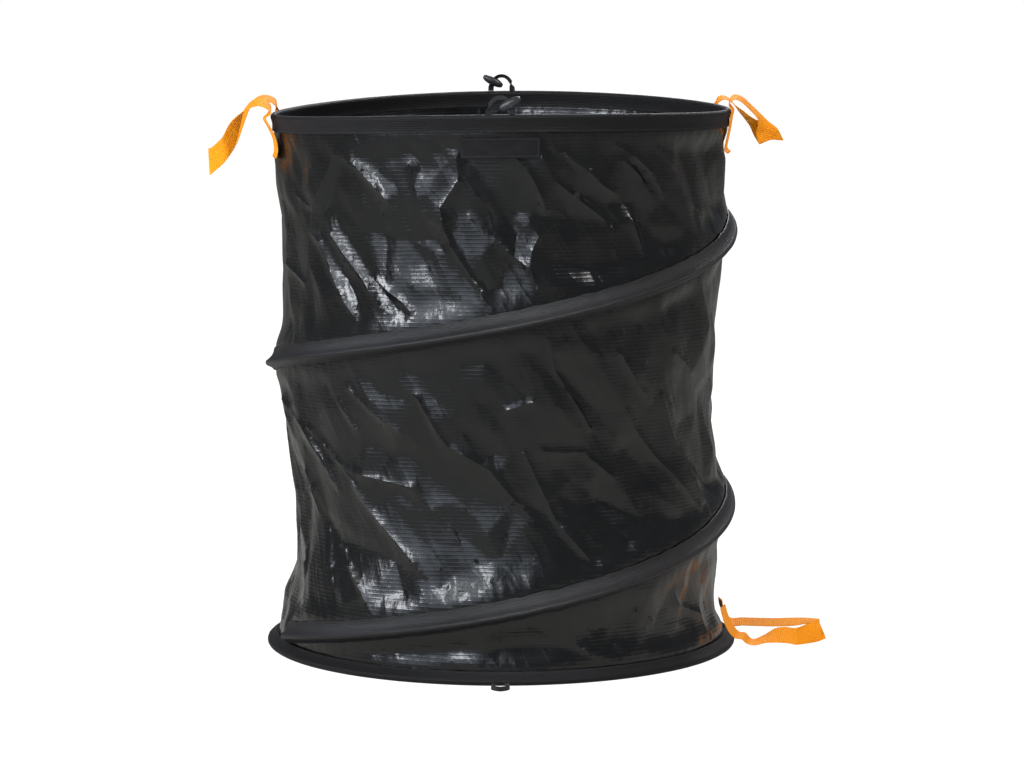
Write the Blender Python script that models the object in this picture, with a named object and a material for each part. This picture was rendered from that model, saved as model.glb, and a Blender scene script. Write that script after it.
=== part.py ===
"""Pop up leaf bag: a spiral spring in a sewn tube of woven film, with webbing handles and toggles.

Metres, +Z up. The origin is the middle of the base on the floor, and the label faces -Y.
"""

import math

import bmesh
import bpy
from mathutils import Matrix, Vector
from mathutils.bvhtree import BVHTree
from mathutils.geometry import delaunay_2d_cdt

# Driving sizes of the bag
RIM_HEIGHT = 0.672
RIM_RADIUS = 0.2815
BASE_RADIUS = 0.2900
WALL_RADIUS = 0.2815
RIM_SADDLE = 0.005
RIM_LEAN = 0.003
NECK_DEPTH = 0.022
FOOT_RISE = 0.050
SEGMENTS = 48
WALL_ROWS = 22

# Sheet, wire and the clearance that sewn and fitted pieces keep
FILM = 0.0010
TAPE = 0.0010
WIRE_RADIUS = 0.0015
WIRE_SIDES = 6
CLEARANCE = 0.0003
WELD = 0.00001

# Ferrules and wire tips
FERRULE_WALL = 0.0006
FERRULE_LENGTH = 0.030
RIM_FERRULE_ANGLE = 146.25
BASE_FERRULE_ANGLE = 123.75
TIP_LENGTH = 0.014
TIP_FLOOR = 0.002

# Tape folded over the hoops
RIM_TAPE_DROP = 0.0170
BASE_FLANGE = 0.0150
FLANGE_ANGLE = -45
LEG_SHARE = 0.86
SEWN_SHARE = 0.74
FOLD_ARC = (-120, -60, 0, 60, 120)
FOLD_STEP = 60

# The bottom panel sags from its seam to the floor
PANEL_FLAT_RADIUS = 0.238
PANEL_SAG_RADIUS = 0.258
PANEL_SAG_SHARE = 0.30

# The spiral: the azimuths where it starts and ends, and the mean heights there over floor and under rim
SPIRAL_RADIUS = 0.2900
SPIRAL_START = -157.5
SPIRAL_END = 465.0
SPIRAL_FOOT = 0.0295
SPIRAL_TOP_DROP = 0.0497
SPIRAL_DIP = 0.011
SPIRAL_ABOVE = 0.0180
SPIRAL_BELOW = 0.0090
SPIRAL_ARC = (60, 0, -60)

# Creases of the packed film: their greatest depth, and how far from a seam they reach it
CREASE_DEPTH = 0.015
CREASE_EASE = 0.030
CREASE_LEAN = 60
CREASE_STRETCH = 2.2
# Corners of the creases on half the wall, which its other half repeats: turn from the front, rise and depth
CREASE_SHARES = (
    (-0.225, 0.98, 0.5), (-0.205, 0.82, 0.5), (-0.150, 0.82, 0.1), (-0.120, 0.94, 0.0), (-0.110, 0.67, 0.0),
    (-0.095, 0.77, 0.9), (-0.080, 0.86, 0.1), (-0.060, 0.72, 0.9), (-0.045, 0.79, 0.3), (-0.028, 0.90, 0.0),
    (-0.008, 0.70, 0.9), (0.000, 0.82, 0.2), (0.018, 0.74, 0.2), (0.028, 0.83, 0.0), (0.038, 0.90, 0.3),
    (0.053, 0.78, 0.9), (0.061, 0.92, 0.8), (0.076, 0.82, 0.0), (0.088, 0.75, 0.4), (0.120, 0.84, 0.1),
    (0.140, 0.90, 0.8), (0.168, 0.83, 0.3), (0.205, 0.92, 0.7), (0.235, 0.80, 0.4),
    (-0.210, 0.46, 0.8), (-0.190, 0.60, 0.2), (-0.172, 0.40, 0.2), (-0.136, 0.38, 0.0), (-0.125, 0.28, 0.9),
    (-0.103, 0.46, 0.0), (-0.092, 0.34, 0.8), (-0.078, 0.23, 0.1), (-0.053, 0.20, 0.0), (-0.048, 0.43, 0.0),
    (-0.060, 0.56, 0.5), (-0.028, 0.46, 0.9), (-0.016, 0.36, 0.0), (-0.020, 0.22, 0.7), (0.003, 0.34, 0.9),
    (0.022, 0.55, 0.7), (0.038, 0.57, 0.0), (0.028, 0.42, 0.1), (0.030, 0.30, 0.8), (0.048, 0.26, 0.4),
    (0.066, 0.45, 0.9), (0.060, 0.62, 0.7), (0.062, 0.40, 0.1), (0.076, 0.18, 0.8), (0.095, 0.64, 0.1),
    (0.098, 0.48, 0.0), (0.110, 0.30, 0.0), (0.112, 0.52, 0.9), (0.128, 0.68, 0.8), (0.133, 0.38, 0.7),
    (0.158, 0.40, 0.0), (0.165, 0.60, 0.2), (0.190, 0.50, 0.8), (0.215, 0.62, 0.3), (0.235, 0.42, 0.2),
    (-0.180, 0.16, 0.2), (-0.150, 0.10, 0.8), (-0.235, 0.24, 0.3), (-0.100, 0.12, 0.3), (0.135, 0.16, 0.1),
    (0.180, 0.22, 0.8), (0.215, 0.12, 0.2), (-0.100, -0.05, 0.3), (0.000, -0.05, 0.5), (0.100, -0.05, 0.3),
    (0.200, -0.05, 0.5), (-0.200, -0.05, 0.5), (-0.170, 1.05, 0.4), (-0.070, 1.05, 0.6), (0.030, 1.05, 0.4),
    (0.120, 1.05, 0.6), (0.210, 1.05, 0.4), (0.000, 0.06, 0.5), (0.060, 0.06, 0.2), (-0.060, 0.05, 0.6),
)

# Webbing handles: azimuths, spread of the two tails, and how far each loop reaches and falls
WEBBING_WIDTH = 0.025
WEBBING = 0.0012
HANDLE_SPREAD = 0.140
TAIL_LENGTH = 0.048
BASE_TAIL_LENGTH = 0.030
LEFT_AZIMUTH = 180
RIGHT_AZIMUTH = 6
BASE_AZIMUTH = -6
LEFT_REACH = 0.086
LEFT_FALL = 0.076
RIGHT_REACH = 0.082
RIGHT_FALL = 0.044
BASE_REACH = 0.120
BASE_HINGE_GAP = 0.0012
BASE_ROOT = 0.00018
LOOP_CREST = 0.014
LOOP_STEPS = 44
LOOP_TIP_SPREAD = 0.004
OUT_SHARES = (0.0, 0.13, 0.34, 0.60, 0.84, 1.0)
SIDE_SHARES = (1.0, 1.0, 0.80, 0.46, 0.15, 0.0)
CREST_SHARES = (0.0, 0.80, 1.0, 0.35, 0.0, 0.0)
FALL_SHARES = (0.0, 0.0, 0.0, 0.20, 0.62, 1.0)
TURN_SHARES = (0.0, 0.15, 0.50, 0.85, 1.0, 1.0)
BASE_RISE_SHARES = (0.0, 0.09, 0.27, 0.37, 0.39, 0.39)

# Label patch
LABEL_WIDTH = 0.094
LABEL_HEIGHT = 0.024
LABEL_THICK = 0.0008
LABEL_DROP = 0.006
LABEL_AZIMUTH = -90
LABEL_STEPS = 6

# Toggle ribbons and the pegs threaded on them
FRONT_AZIMUTH = -90
REAR_AZIMUTH = 90
RIBBON_WIDTH = 0.006
RIBBON = 0.0010
ARCH_WIDTH = 0.028
ARCH_HEIGHT = 0.020
ARCH_STEPS = 14
PEG_LENGTH = 0.028
PEG_RADIUS = 0.0056
PEG_END_RADIUS = 0.0024
PEG_SIDES = 12
HOLE_SIDES = 14
PEG_REACH_SHARES = (-1.0, -0.93, -0.30, 0.30, 0.93, 1.0)
PEG_FULL_SHARES = (0.0, 0.25, 1.0, 1.0, 0.25, 0.0)
PEG_PLACE_SHARE = 0.20

# Closure loops at the base
CLOSURE_WIDTH = 0.020
CLOSURE_LENGTH = 0.030
CLOSURE_STEPS = 30
CLOSURE_OUT_SHARES = (0.0, 0.32, 0.74, 1.0)
CLOSURE_SIDE_SHARES = (0.55, 1.0, 0.95, 0.0)
CLOSURE_TURN_SHARES = (0.0, 0.75, 1.0, 1.0)

# Sizes that follow from the ones above
FERRULE_RADIUS = WIRE_RADIUS + CLEARANCE + FERRULE_WALL
FOLD_INNER = (FERRULE_RADIUS + CLEARANCE) / math.cos(math.radians(FOLD_STEP / 2))
FOLD_OUTER = FOLD_INNER + TAPE
RIM_WIRE_HEIGHT = RIM_HEIGHT - FOLD_OUTER
RIM_TAPE_EDGE = RIM_WIRE_HEIGHT - RIM_TAPE_DROP
BASE_WIRE_HEIGHT = FOLD_OUTER
SPIRAL_PITCH = (RIM_HEIGHT - SPIRAL_TOP_DROP - SPIRAL_FOOT) * 360 / (SPIRAL_END - SPIRAL_START)
SPIRAL_HEIGHT = SPIRAL_FOOT - SPIRAL_PITCH * SPIRAL_START / 360
RIM_GAP = FILM / 2 + CLEARANCE
BASE_GAP = FILM + CLEARANCE * 3 / 2
WALL_FACE = WALL_RADIUS + FILM / 2
WEBBING_SEAT = CLEARANCE + WEBBING / 2
HINGE_RADIUS = RIM_RADIUS + FOLD_OUTER + WEBBING_SEAT
BASE_BEND = (FOLD_OUTER + WEBBING_SEAT) / math.cos(math.radians(FOLD_STEP / 2))
TAIL_ANGLE = math.degrees(math.asin(HANDLE_SPREAD / 2 / HINGE_RADIUS))

# Colours of the finishes
FILM_BLACK = (0.012, 0.013, 0.013)
TAPE_BLACK = (0.018, 0.017, 0.018)
ORANGE = (0.90, 0.27, 0.006)
STEEL_GREY = (0.35, 0.35, 0.36)


def clear_scene():
    """Take away whatever the scene holds."""
    for thing in list(bpy.data.objects):
        bpy.data.objects.remove(thing, do_unlink=True)


def finish_material(name, colour, roughness, metallic=0.0):
    """Return a Principled material."""
    material = bpy.data.materials.new(name)
    material.use_nodes = True
    shader = material.node_tree.nodes["Principled BSDF"]
    shader.inputs["Base Color"].default_value = (*colour, 1.0)
    shader.inputs["Roughness"].default_value = roughness
    shader.inputs["Metallic"].default_value = metallic
    return material


def polar(radius, degrees, height):
    """Return the point at a radius, an azimuth from +X and a height."""
    angle = math.radians(degrees)
    return Vector((radius * math.cos(angle), radius * math.sin(angle), height))


def rim_lift(degrees):
    """Return how far the rim stands over its mean height: a slight saddle and a slight lean."""
    angle = math.radians(degrees)
    return RIM_LEAN * math.cos(angle) - RIM_SADDLE * math.cos(2 * angle)


def rim_wire_height(degrees):
    """Return the height of the rim's hoop wire at an azimuth."""
    return RIM_WIRE_HEIGHT + rim_lift(degrees)


def base_wire_height(_degrees):
    """Return the height of the base's hoop wire, which lies level."""
    return BASE_WIRE_HEIGHT


def spiral_height(degrees):
    """Return the height of the spiral wire at a running azimuth."""
    return SPIRAL_HEIGHT + SPIRAL_PITCH * degrees / 360 + SPIRAL_DIP * math.sin(math.radians(degrees))


def on_hoop(radius, degrees, height_at):
    """Return a point on the run between two sections, so that what lies inside follows the sleeve."""
    step = 360 / SEGMENTS
    first = math.floor(degrees / step) * step
    start = polar(radius, first, height_at(first))
    end = polar(radius, first + step, height_at(first + step))
    return start.lerp(end, (degrees - first) / step)


def flange_point(along, across):
    """Return radius and height of a point on the base flange: along it from the wire, and across it."""
    angle = math.radians(FLANGE_ANGLE)
    run = Vector((math.cos(angle), math.sin(angle)))
    return Vector((BASE_RADIUS, BASE_WIRE_HEIGHT)) + run * along + Vector((-run.y, run.x)) * across


def seam_span(degrees, height):
    """Return the heights of the seams below and above a point of the wall, or the same twice on a seam."""
    above = RIM_TAPE_EDGE + rim_lift(degrees)
    below = BASE_FLANGE
    if height >= above or height <= below:
        return height, height
    running = degrees % 360 - 720
    while running < 720:
        if SPIRAL_START <= running <= SPIRAL_END:
            lower_edge = spiral_height(running) - SPIRAL_BELOW
            upper_edge = spiral_height(running) + SPIRAL_ABOVE
            if lower_edge < height < upper_edge:
                return height, height
            if lower_edge >= height:
                above = min(above, lower_edge)
            else:
                below = max(below, upper_edge)
        running += 360
    return below, above


def smooth_step(share):
    """Return a share, held between 0 and 1, that eases in and out."""
    held = min(max(share, 0.0), 1.0)
    return held * held * (3 - 2 * held)


def crease_net():
    """Return the film's creases as a net over the unrolled wall, its third axis the share of full depth."""
    girth = 2 * math.pi * WALL_RADIUS
    corners = []
    for half_turn in range(-2, 3):
        for turn, rise, depth in CREASE_SHARES:
            corners.append(Vector(((turn + half_turn / 2) * girth, rise * RIM_HEIGHT, depth * RIM_HEIGHT)))
    lean = math.radians(CREASE_LEAN)
    run = Vector((math.cos(lean), -math.sin(lean)))
    cross = Vector((-run.y, run.x))
    flat = [corner.to_2d() for corner in corners]
    drawn = [Vector((spot.dot(run) / CREASE_STRETCH, spot.dot(cross))) for spot in flat]
    result = delaunay_2d_cdt(drawn, [], [], 0, WELD)
    faces = [tuple(result[3][corner][0] for corner in face) for face in result[2]]
    return BVHTree.FromPolygons(corners, faces)


def crease_depth(net, degrees, height):
    """Return how deep a crease draws the wall in at a point, which fades out towards the seams."""
    below, above = seam_span(degrees, height)
    from_front = (degrees - FRONT_AZIMUTH + 180) % 360 - 180
    over = Vector((math.radians(from_front) * WALL_RADIUS, height, RIM_HEIGHT * 2))
    spot = net.ray_cast(over, Vector((0, 0, -1)))[0]
    return CREASE_DEPTH * spot.z / RIM_HEIGHT * smooth_step(min(height - below, above - height) / CREASE_EASE)


def wall_radius(degrees, height):
    """Return the wall's mid radius: full at the seams, necked between them, drawn in at its foot."""
    foot = flange_point(-BASE_FLANGE, 0.0).x
    draw = (WALL_RADIUS - foot) * smooth_step(1 - (height - BASE_FLANGE) / FOOT_RISE)
    below, above = seam_span(degrees, height)
    if above == below:
        return WALL_RADIUS - draw
    slack = NECK_DEPTH * (1 - height / RIM_HEIGHT) * min(1.0, (above - below) / SPIRAL_PITCH)
    neck = slack * math.sin(math.pi * (height - below) / (above - below)) ** 2
    return WALL_RADIUS - max(draw, neck)


def make_object(name, mesh, material, sharp):
    """Put a mesh in the scene under a name, shaded smooth over its rounds."""
    thing = bpy.data.objects.new(name, mesh)
    bpy.context.collection.objects.link(thing)
    mesh.materials.append(material)
    mesh.shade_smooth()
    mesh.set_sharp_from_angle(angle=math.radians(sharp))
    return thing


def close_mesh(name, work, material, sharp=40):
    """Turn a closed bmesh's faces outward, split them into triangles and make its object."""
    bmesh.ops.recalc_face_normals(work, faces=work.faces)
    bmesh.ops.triangulate(work, faces=work.faces)
    if work.calc_volume(signed=True) < 0:
        bmesh.ops.reverse_faces(work, faces=work.faces)
    mesh = bpy.data.meshes.new(name)
    work.to_mesh(mesh)
    work.free()
    return make_object(name, mesh, material, sharp)


def skin_rings(name, rings, closed_run, material, sharp=40):
    """Join rings of points into one closed body. An open run gets a cap at each end."""
    work = bmesh.new()
    rows = [[work.verts.new(point) for point in ring] for ring in rings]
    count = len(rows[0])
    runs = len(rows) if closed_run else len(rows) - 1
    for index in range(runs):
        row = rows[index]
        following = rows[(index + 1) % len(rows)]
        for side in range(count):
            other = (side + 1) % count
            work.faces.new((row[side], row[other], following[other], following[side]))
    if not closed_run:
        work.faces.new(list(reversed(rows[0])))
        work.faces.new(rows[-1])
    return close_mesh(name, work, material, sharp)


def hang(thing, pivot):
    """Put an object's origin on its pivot and leave its shape where it is."""
    thing.data.transform(Matrix.Translation(-pivot))
    thing.location = pivot
    return thing


def carry(carrier, things):
    """Parent things to a carrier without moving them."""
    bpy.context.view_layer.update()
    for thing in things:
        thing.parent = carrier
        thing.matrix_parent_inverse = carrier.matrix_world.inverted()


def section_angles():
    """Return the azimuths of the sections in a full turn."""
    return [360 * index / SEGMENTS for index in range(SEGMENTS)]


def arc_points(radius, arc, turned):
    """Return points on an arc about the wire, in the upright section through the bag's axis."""
    angles = [math.radians(step + turned) for step in arc]
    return [Vector((radius * math.cos(angle), radius * math.sin(angle))) for angle in angles]


def folded_tape(turned, length, gap):
    """Return the section of tape folded over a wire, its two legs running back from the fold."""
    angle = math.radians(turned)
    back = Vector((math.cos(angle), math.sin(angle))) * -length
    side = Vector((-math.sin(angle), math.cos(angle)))
    outer = arc_points(FOLD_OUTER, FOLD_ARC, turned)
    inner = arc_points(FOLD_INNER, reversed(FOLD_ARC), turned)
    outside = [back - side * (gap + TAPE)] + outer + [back + side * (gap + TAPE)]
    return outside + [back + side * gap] + inner + [back - side * gap]


def hoop_sleeve(name, radius, height_at, section, material):
    """Turn a folded tape section round the bag."""
    rings = []
    for degrees in section_angles():
        rings.append([polar(radius + spot.x, degrees, height_at(degrees) + spot.y) for spot in section])
    return skin_rings(name, rings, True, material)


def round_section(centre, outward, upward, radius, sides=WIRE_SIDES):
    """Return the points of a round section about a centre."""
    angles = [2 * math.pi * side / sides for side in range(sides)]
    return [centre + (outward * math.cos(angle) + upward * math.sin(angle)) * radius for angle in angles]


def wire_sections(radius, stops, height_at, section_radius):
    """Return the round sections of a wire, ferrule or tip at azimuths along its run."""
    up = Vector((0, 0, 1))
    centres = [on_hoop(radius, stop, height_at) for stop in stops]
    outwards = [polar(1.0, stop, 0.0) for stop in stops]
    return [round_section(spot, out, up, section_radius) for spot, out in zip(centres, outwards)]


def hoop_wire(name, radius, height_at, joint, material):
    """Make a hoop of wire whose two ends meet in a ferrule at an azimuth."""
    step = 360 / SEGMENTS
    gap = math.degrees(CLEARANCE / radius)
    first = math.ceil((joint + gap) / step)
    stops = [joint + gap] + [step * (first + index) for index in range(SEGMENTS)] + [joint + 360 - gap]
    return skin_rings(name, wire_sections(radius, stops, height_at, WIRE_RADIUS), False, material)


def hoop_ferrule(name, radius, height_at, joint, material):
    """Make the crimped tube over the meeting ends of a hoop wire."""
    half = math.degrees(FERRULE_LENGTH / 2 / radius)
    skin = wire_sections(radius, (joint - half, joint + half), height_at, FERRULE_RADIUS)
    bore = wire_sections(radius, (joint + half, joint - half), height_at, WIRE_RADIUS + CLEARANCE)
    return skin_rings(name, skin + bore, True, material)


def make_wall(material):
    """The tube of woven film, from inside the rim sleeve to inside the base sleeve."""
    across = (FILM + CLEARANCE) / 2
    net = crease_net()
    rings = []
    for degrees in section_angles():
        top = RIM_WIRE_HEIGHT - FOLD_INNER + rim_lift(degrees)
        start = RIM_TAPE_EDGE - TAPE + rim_lift(degrees)
        foot = flange_point(-BASE_FLANGE, across)
        fall = foot.y + BASE_FLANGE / 2 - start
        heights = [start + fall * row / (WALL_ROWS - 1) for row in range(WALL_ROWS)]
        inner = [polar(WALL_RADIUS - FILM / 2, degrees, top)]
        outer = [polar(WALL_RADIUS + FILM / 2, degrees, top)]
        for height in heights:
            radius = wall_radius(degrees, height) - crease_depth(net, degrees, height)
            inner.append(polar(radius - FILM / 2, degrees, height))
            outer.append(polar(radius + FILM / 2, degrees, height))
        inner.append(polar(foot.x - FILM / 2, degrees, foot.y))
        outer.append(polar(foot.x + FILM / 2, degrees, foot.y + FILM / 2))
        under = flange_point(-BASE_FLANGE * (1 - SEWN_SHARE), across - FILM / 2)
        over = flange_point(-BASE_FLANGE * (1 - SEWN_SHARE), across + FILM / 2)
        inner.append(polar(under.x, degrees, under.y))
        outer.append(polar(over.x, degrees, over.y))
        rings.append(outer + list(reversed(inner)))
    return skin_rings("bag_wall", rings, True, material)


def make_bottom_panel(material):
    """The disc that closes the tube: sewn into the base seam, and flat on the floor inside it."""
    across = -(FILM + CLEARANCE) / 2
    half = FILM / 2
    sewn = -BASE_FLANGE * (1 - SEWN_SHARE)
    root = flange_point(-BASE_FLANGE, across)
    sag = Vector((PANEL_SAG_RADIUS, half + (root.y - half) * PANEL_SAG_SHARE))
    upper = [flange_point(sewn, across + half), root + Vector((-half, half)), sag + Vector((0, half)),
             Vector((PANEL_FLAT_RADIUS, FILM)), Vector((0, FILM))]
    lower = [flange_point(sewn, across - half), root - Vector((half, half)), sag - Vector((0, half)),
             Vector((PANEL_FLAT_RADIUS, 0)), Vector((0, 0))]
    work = bmesh.new()
    verts = [work.verts.new((spot.x, 0, spot.y)) for spot in upper + list(reversed(lower))]
    edges = [work.edges.new((verts[index - 1], verts[index])) for index in range(len(verts))]
    full_turn = 2 * math.pi
    bmesh.ops.spin(work, geom=verts + edges, cent=Vector(), axis=Vector((0, 0, 1)), angle=full_turn,
                   steps=SEGMENTS, use_merge=True)
    bmesh.ops.remove_doubles(work, verts=work.verts, dist=WELD)
    loose = [edge for edge in work.edges if not edge.link_faces]
    bmesh.ops.delete(work, geom=loose, context="EDGES")
    return close_mesh("bottom_panel", work, material)


def spiral_angles():
    """Return the running azimuths of the spiral's sections, in step with the wall's."""
    count = round((SPIRAL_END - SPIRAL_START) * SEGMENTS / 360)
    return [SPIRAL_START + 360 * index / SEGMENTS for index in range(count + 1)]


def make_spiral_sleeve(material):
    """Tape sewn to the wall along both edges, which the wire pushes out into a ridge."""
    face = WALL_FACE + CLEARANCE - SPIRAL_RADIUS
    outer = arc_points(FOLD_OUTER, SPIRAL_ARC, 0)
    inner = arc_points(FOLD_INNER, reversed(SPIRAL_ARC), 0)
    section = [Vector((face + TAPE, SPIRAL_ABOVE))] + outer + [Vector((face + TAPE, -SPIRAL_BELOW))]
    section += [Vector((face, -SPIRAL_BELOW))] + inner + [Vector((face, SPIRAL_ABOVE))]
    rings = []
    for degrees in spiral_angles():
        height = spiral_height(degrees)
        rings.append([polar(SPIRAL_RADIUS + spot.x, degrees, height + spot.y) for spot in section])
    return skin_rings("spiral_sleeve", rings, False, material)


def make_spiral_wire(material):
    """The spring wire that runs in the spiral sleeve."""
    inset = math.degrees(TIP_FLOOR / SPIRAL_RADIUS)
    stops = spiral_angles()
    stops[0] += inset
    stops[-1] -= inset
    rings = wire_sections(SPIRAL_RADIUS, stops, spiral_height, WIRE_RADIUS)
    return skin_rings("spiral_wire", rings, False, material)


def spiral_tip(name, end, inward, material):
    """Make the blind cap pushed over one end of the spiral wire."""
    reach = inward * math.degrees(TIP_LENGTH / SPIRAL_RADIUS)
    floor = inward * math.degrees((TIP_FLOOR - CLEARANCE) / SPIRAL_RADIUS)
    skin = wire_sections(SPIRAL_RADIUS, (end, end + reach), spiral_height, FERRULE_RADIUS)
    bore = wire_sections(SPIRAL_RADIUS, (end + reach, end + floor), spiral_height, WIRE_RADIUS + CLEARANCE)
    return skin_rings(name, skin + bore, False, material)


def spline(points, share):
    """Return a point on a smooth curve through a list of points."""
    span = share * (len(points) - 1)
    index = min(int(span), len(points) - 2)
    local = span - index
    before = points[max(index - 1, 0)]
    start = points[index]
    end = points[index + 1]
    after = points[min(index + 2, len(points) - 1)]
    bend = before * 2 - start * 5 + end * 4 - after
    twist = start * 3 - before - end * 3 + after
    return (start * 2 + (end - before) * local + bend * local**2 + twist * local**3) / 2


def direction_at(points, share, steps):
    """Return the direction of a smooth curve at a share of its run."""
    nudge = 1 / steps / 4
    ahead = spline(points, min(share + nudge, 1.0))
    return (ahead - spline(points, max(share - nudge, 0.0))).normalized()


def strap(name, points, widths, steps, width, thick, material):
    """Make a flat strap along a curve, turned as its width vectors say."""
    rings = []
    for step in range(steps + 1):
        share = step / steps
        spot = spline(points, share)
        run = direction_at(points, share, steps)
        across = spline(widths, share)
        across = (across - run * across.dot(run)).normalized()
        through = run.cross(across).normalized() * thick / 2
        edge = across * width / 2
        rings.append([spot + edge + through, spot - edge + through,
                      spot - edge - through, spot + edge - through])
    return skin_rings(name, rings, False, material, sharp=30)


def hinge_frame(centre, radius, height):
    """Return a hinge's frame: a function that places outward, sideways and up, and two directions."""
    outward = polar(1.0, centre, 0.0)
    sideways = Vector((0, 0, 1)).cross(outward)
    pivot = outward * radius + Vector((0, 0, height))

    def place(out, along, rise):
        return pivot + outward * out + sideways * along + Vector((0, 0, rise))

    return place, outward, sideways


def handle_loop(name, frame, reach, rises, material, root=0.0):
    """Make the free loop of a handle: two straps that turn on edge and meet in a fold.

    The root is how far the straps start behind the hinge line.
    """
    place, outward, sideways = frame
    half = HANDLE_SPREAD / 2
    tip = LOOP_TIP_SPREAD / 2
    sides = [tip + (half - tip) * share for share in SIDE_SHARES]
    outs = [-root] + [reach * share for share in OUT_SHARES[1:]]
    route = list(zip(outs, sides, rises))
    fall = (outward * reach * (OUT_SHARES[-1] - OUT_SHARES[-3])).to_3d()
    fall = (fall + Vector((0, 0, rises[-1] - rises[-3]))).normalized()
    on_edge = Vector((0, 0, 1)) - fall * fall.z
    turns = [(-sideways).lerp(on_edge.normalized(), share) for share in TURN_SHARES]
    points = [place(out, -side, rise) for out, side, rise in route]
    points += [place(out, side, rise) for out, side, rise in reversed(route)]
    widths = turns + list(reversed(turns))
    loop = strap(name, points, widths, LOOP_STEPS, WEBBING_WIDTH, WEBBING, material)
    return hang(loop, place(0.0, 0.0, 0.0))


def rim_handle_frame(centre):
    """Return the frame of a rim handle, whose hinge line joins the tops of its two tails."""
    radius = HINGE_RADIUS * math.cos(math.radians(TAIL_ANGLE))
    return hinge_frame(centre, radius, RIM_HEIGHT + rim_lift(centre) + WEBBING_SEAT)


def rim_handle_loop(name, centre, reach, fall, material):
    """Make a rim handle's loop, which rises a little over the rim and then falls outside it."""
    rises = [LOOP_CREST * crest - fall * share for crest, share in zip(CREST_SHARES, FALL_SHARES)]
    return handle_loop(name, rim_handle_frame(centre), reach, rises, material)


def base_handle_loop(name, centre, reach, material):
    """Make the base handle's loop, which lies on edge on the floor, clear of its tails' corners."""
    angle = math.radians(TAIL_ANGLE)
    corner = (BASE_RADIUS + BASE_BEND) * math.cos(angle) + WEBBING_WIDTH / 2 * math.sin(angle)
    frame = hinge_frame(centre, corner + BASE_HINGE_GAP, BASE_WIRE_HEIGHT)
    rises = [WEBBING_WIDTH * share for share in BASE_RISE_SHARES]
    return handle_loop(name, frame, reach, rises, material, BASE_ROOT)


def sewn_tail(name, degrees, profile, material):
    """Make a webbing tail that lies on the bag, from its mid line of radius and height."""
    outward = polar(1.0, degrees, 0.0)
    sideways = Vector((0, 0, 1)).cross(outward) * WEBBING_WIDTH / 2
    rings = []
    for index, spot in enumerate(profile):
        run = profile[min(index + 1, len(profile) - 1)] - profile[max(index - 1, 0)]
        run.normalize()
        normal = (outward * run.y - Vector((0, 0, run.x))) * WEBBING / 2
        middle = outward * spot.x + Vector((0, 0, spot.y))
        rings.append([middle + sideways + normal, middle - sideways + normal,
                      middle - sideways - normal, middle + sideways - normal])
    return skin_rings(name, rings, False, material, sharp=30)


def rim_tail(name, degrees, centre, material):
    """Make a rim handle's tail: up the wall, over the sleeve, to the hinge line."""
    edge = RIM_TAPE_EDGE + rim_lift(degrees)
    leg_face = RIM_RADIUS + RIM_GAP + TAPE
    hinge_foot = RIM_HEIGHT + rim_lift(centre)
    profile = [
        Vector((WALL_FACE + WEBBING_SEAT, edge - TAIL_LENGTH)),
        Vector((WALL_FACE + WEBBING_SEAT, edge - WEBBING_WIDTH / 2)),
        Vector((leg_face + WEBBING_SEAT, edge)),
        Vector((HINGE_RADIUS, edge + RIM_TAPE_DROP)),
        Vector((HINGE_RADIUS, hinge_foot)),
    ]
    return sewn_tail(name, degrees, profile, material)


def base_tail(name, degrees, material):
    """Make a base handle's tail: down the wall, over the slanted sleeve, to its hinge."""
    foot_height = flange_point(-BASE_FLANGE, 0.0).y + WEBBING_WIDTH / 4
    foot_radius = wall_radius(degrees, foot_height) + FILM / 2 + WEBBING_SEAT + CLEARANCE
    leg = flange_point(-BASE_FLANGE * LEG_SHARE, BASE_GAP + TAPE + WEBBING_SEAT + CLEARANCE)
    wire = Vector((BASE_RADIUS, BASE_WIRE_HEIGHT))
    shoulder, brow = arc_points(BASE_BEND, (FOLD_ARC[-1], FOLD_ARC[-2]), FLANGE_ANGLE)
    profile = [
        Vector((foot_radius, foot_height + BASE_TAIL_LENGTH)),
        Vector((foot_radius, foot_height)),
        leg,
        wire + shoulder,
        wire + brow,
        Vector((BASE_RADIUS + BASE_BEND, BASE_WIRE_HEIGHT)),
    ]
    return sewn_tail(name, degrees, profile, material)


def make_label(material):
    """The bare patch sewn to the wall under the rim sleeve, curved with the wall."""
    half_angle = math.degrees(LABEL_WIDTH / 2 / WALL_RADIUS)
    inner = WALL_FACE + CLEARANCE
    rings = []
    for step in range(LABEL_STEPS + 1):
        degrees = LABEL_AZIMUTH + half_angle * (2 * step / LABEL_STEPS - 1)
        high = RIM_TAPE_EDGE - LABEL_DROP + rim_lift(degrees)
        low = high - LABEL_HEIGHT
        rings.append([polar(inner, degrees, low), polar(inner + LABEL_THICK, degrees, low),
                      polar(inner + LABEL_THICK, degrees, high), polar(inner, degrees, high)])
    return skin_rings("label_patch", rings, False, material, sharp=30)


def toggle_frame(centre):
    """Return the frame of a toggle's ribbon, whose hinge line lies on top of the rim."""
    return hinge_frame(centre, RIM_RADIUS, RIM_HEIGHT + rim_lift(centre) + CLEARANCE + RIBBON / 2)


def arch_points(place):
    """Return the mid line of a toggle ribbon: an arch that stands on the rim."""
    turns = [math.pi * step / ARCH_STEPS for step in range(ARCH_STEPS + 1)]
    return [place(0.0, ARCH_WIDTH / 2 * math.cos(turn), ARCH_HEIGHT * math.sin(turn)) for turn in turns]


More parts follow.
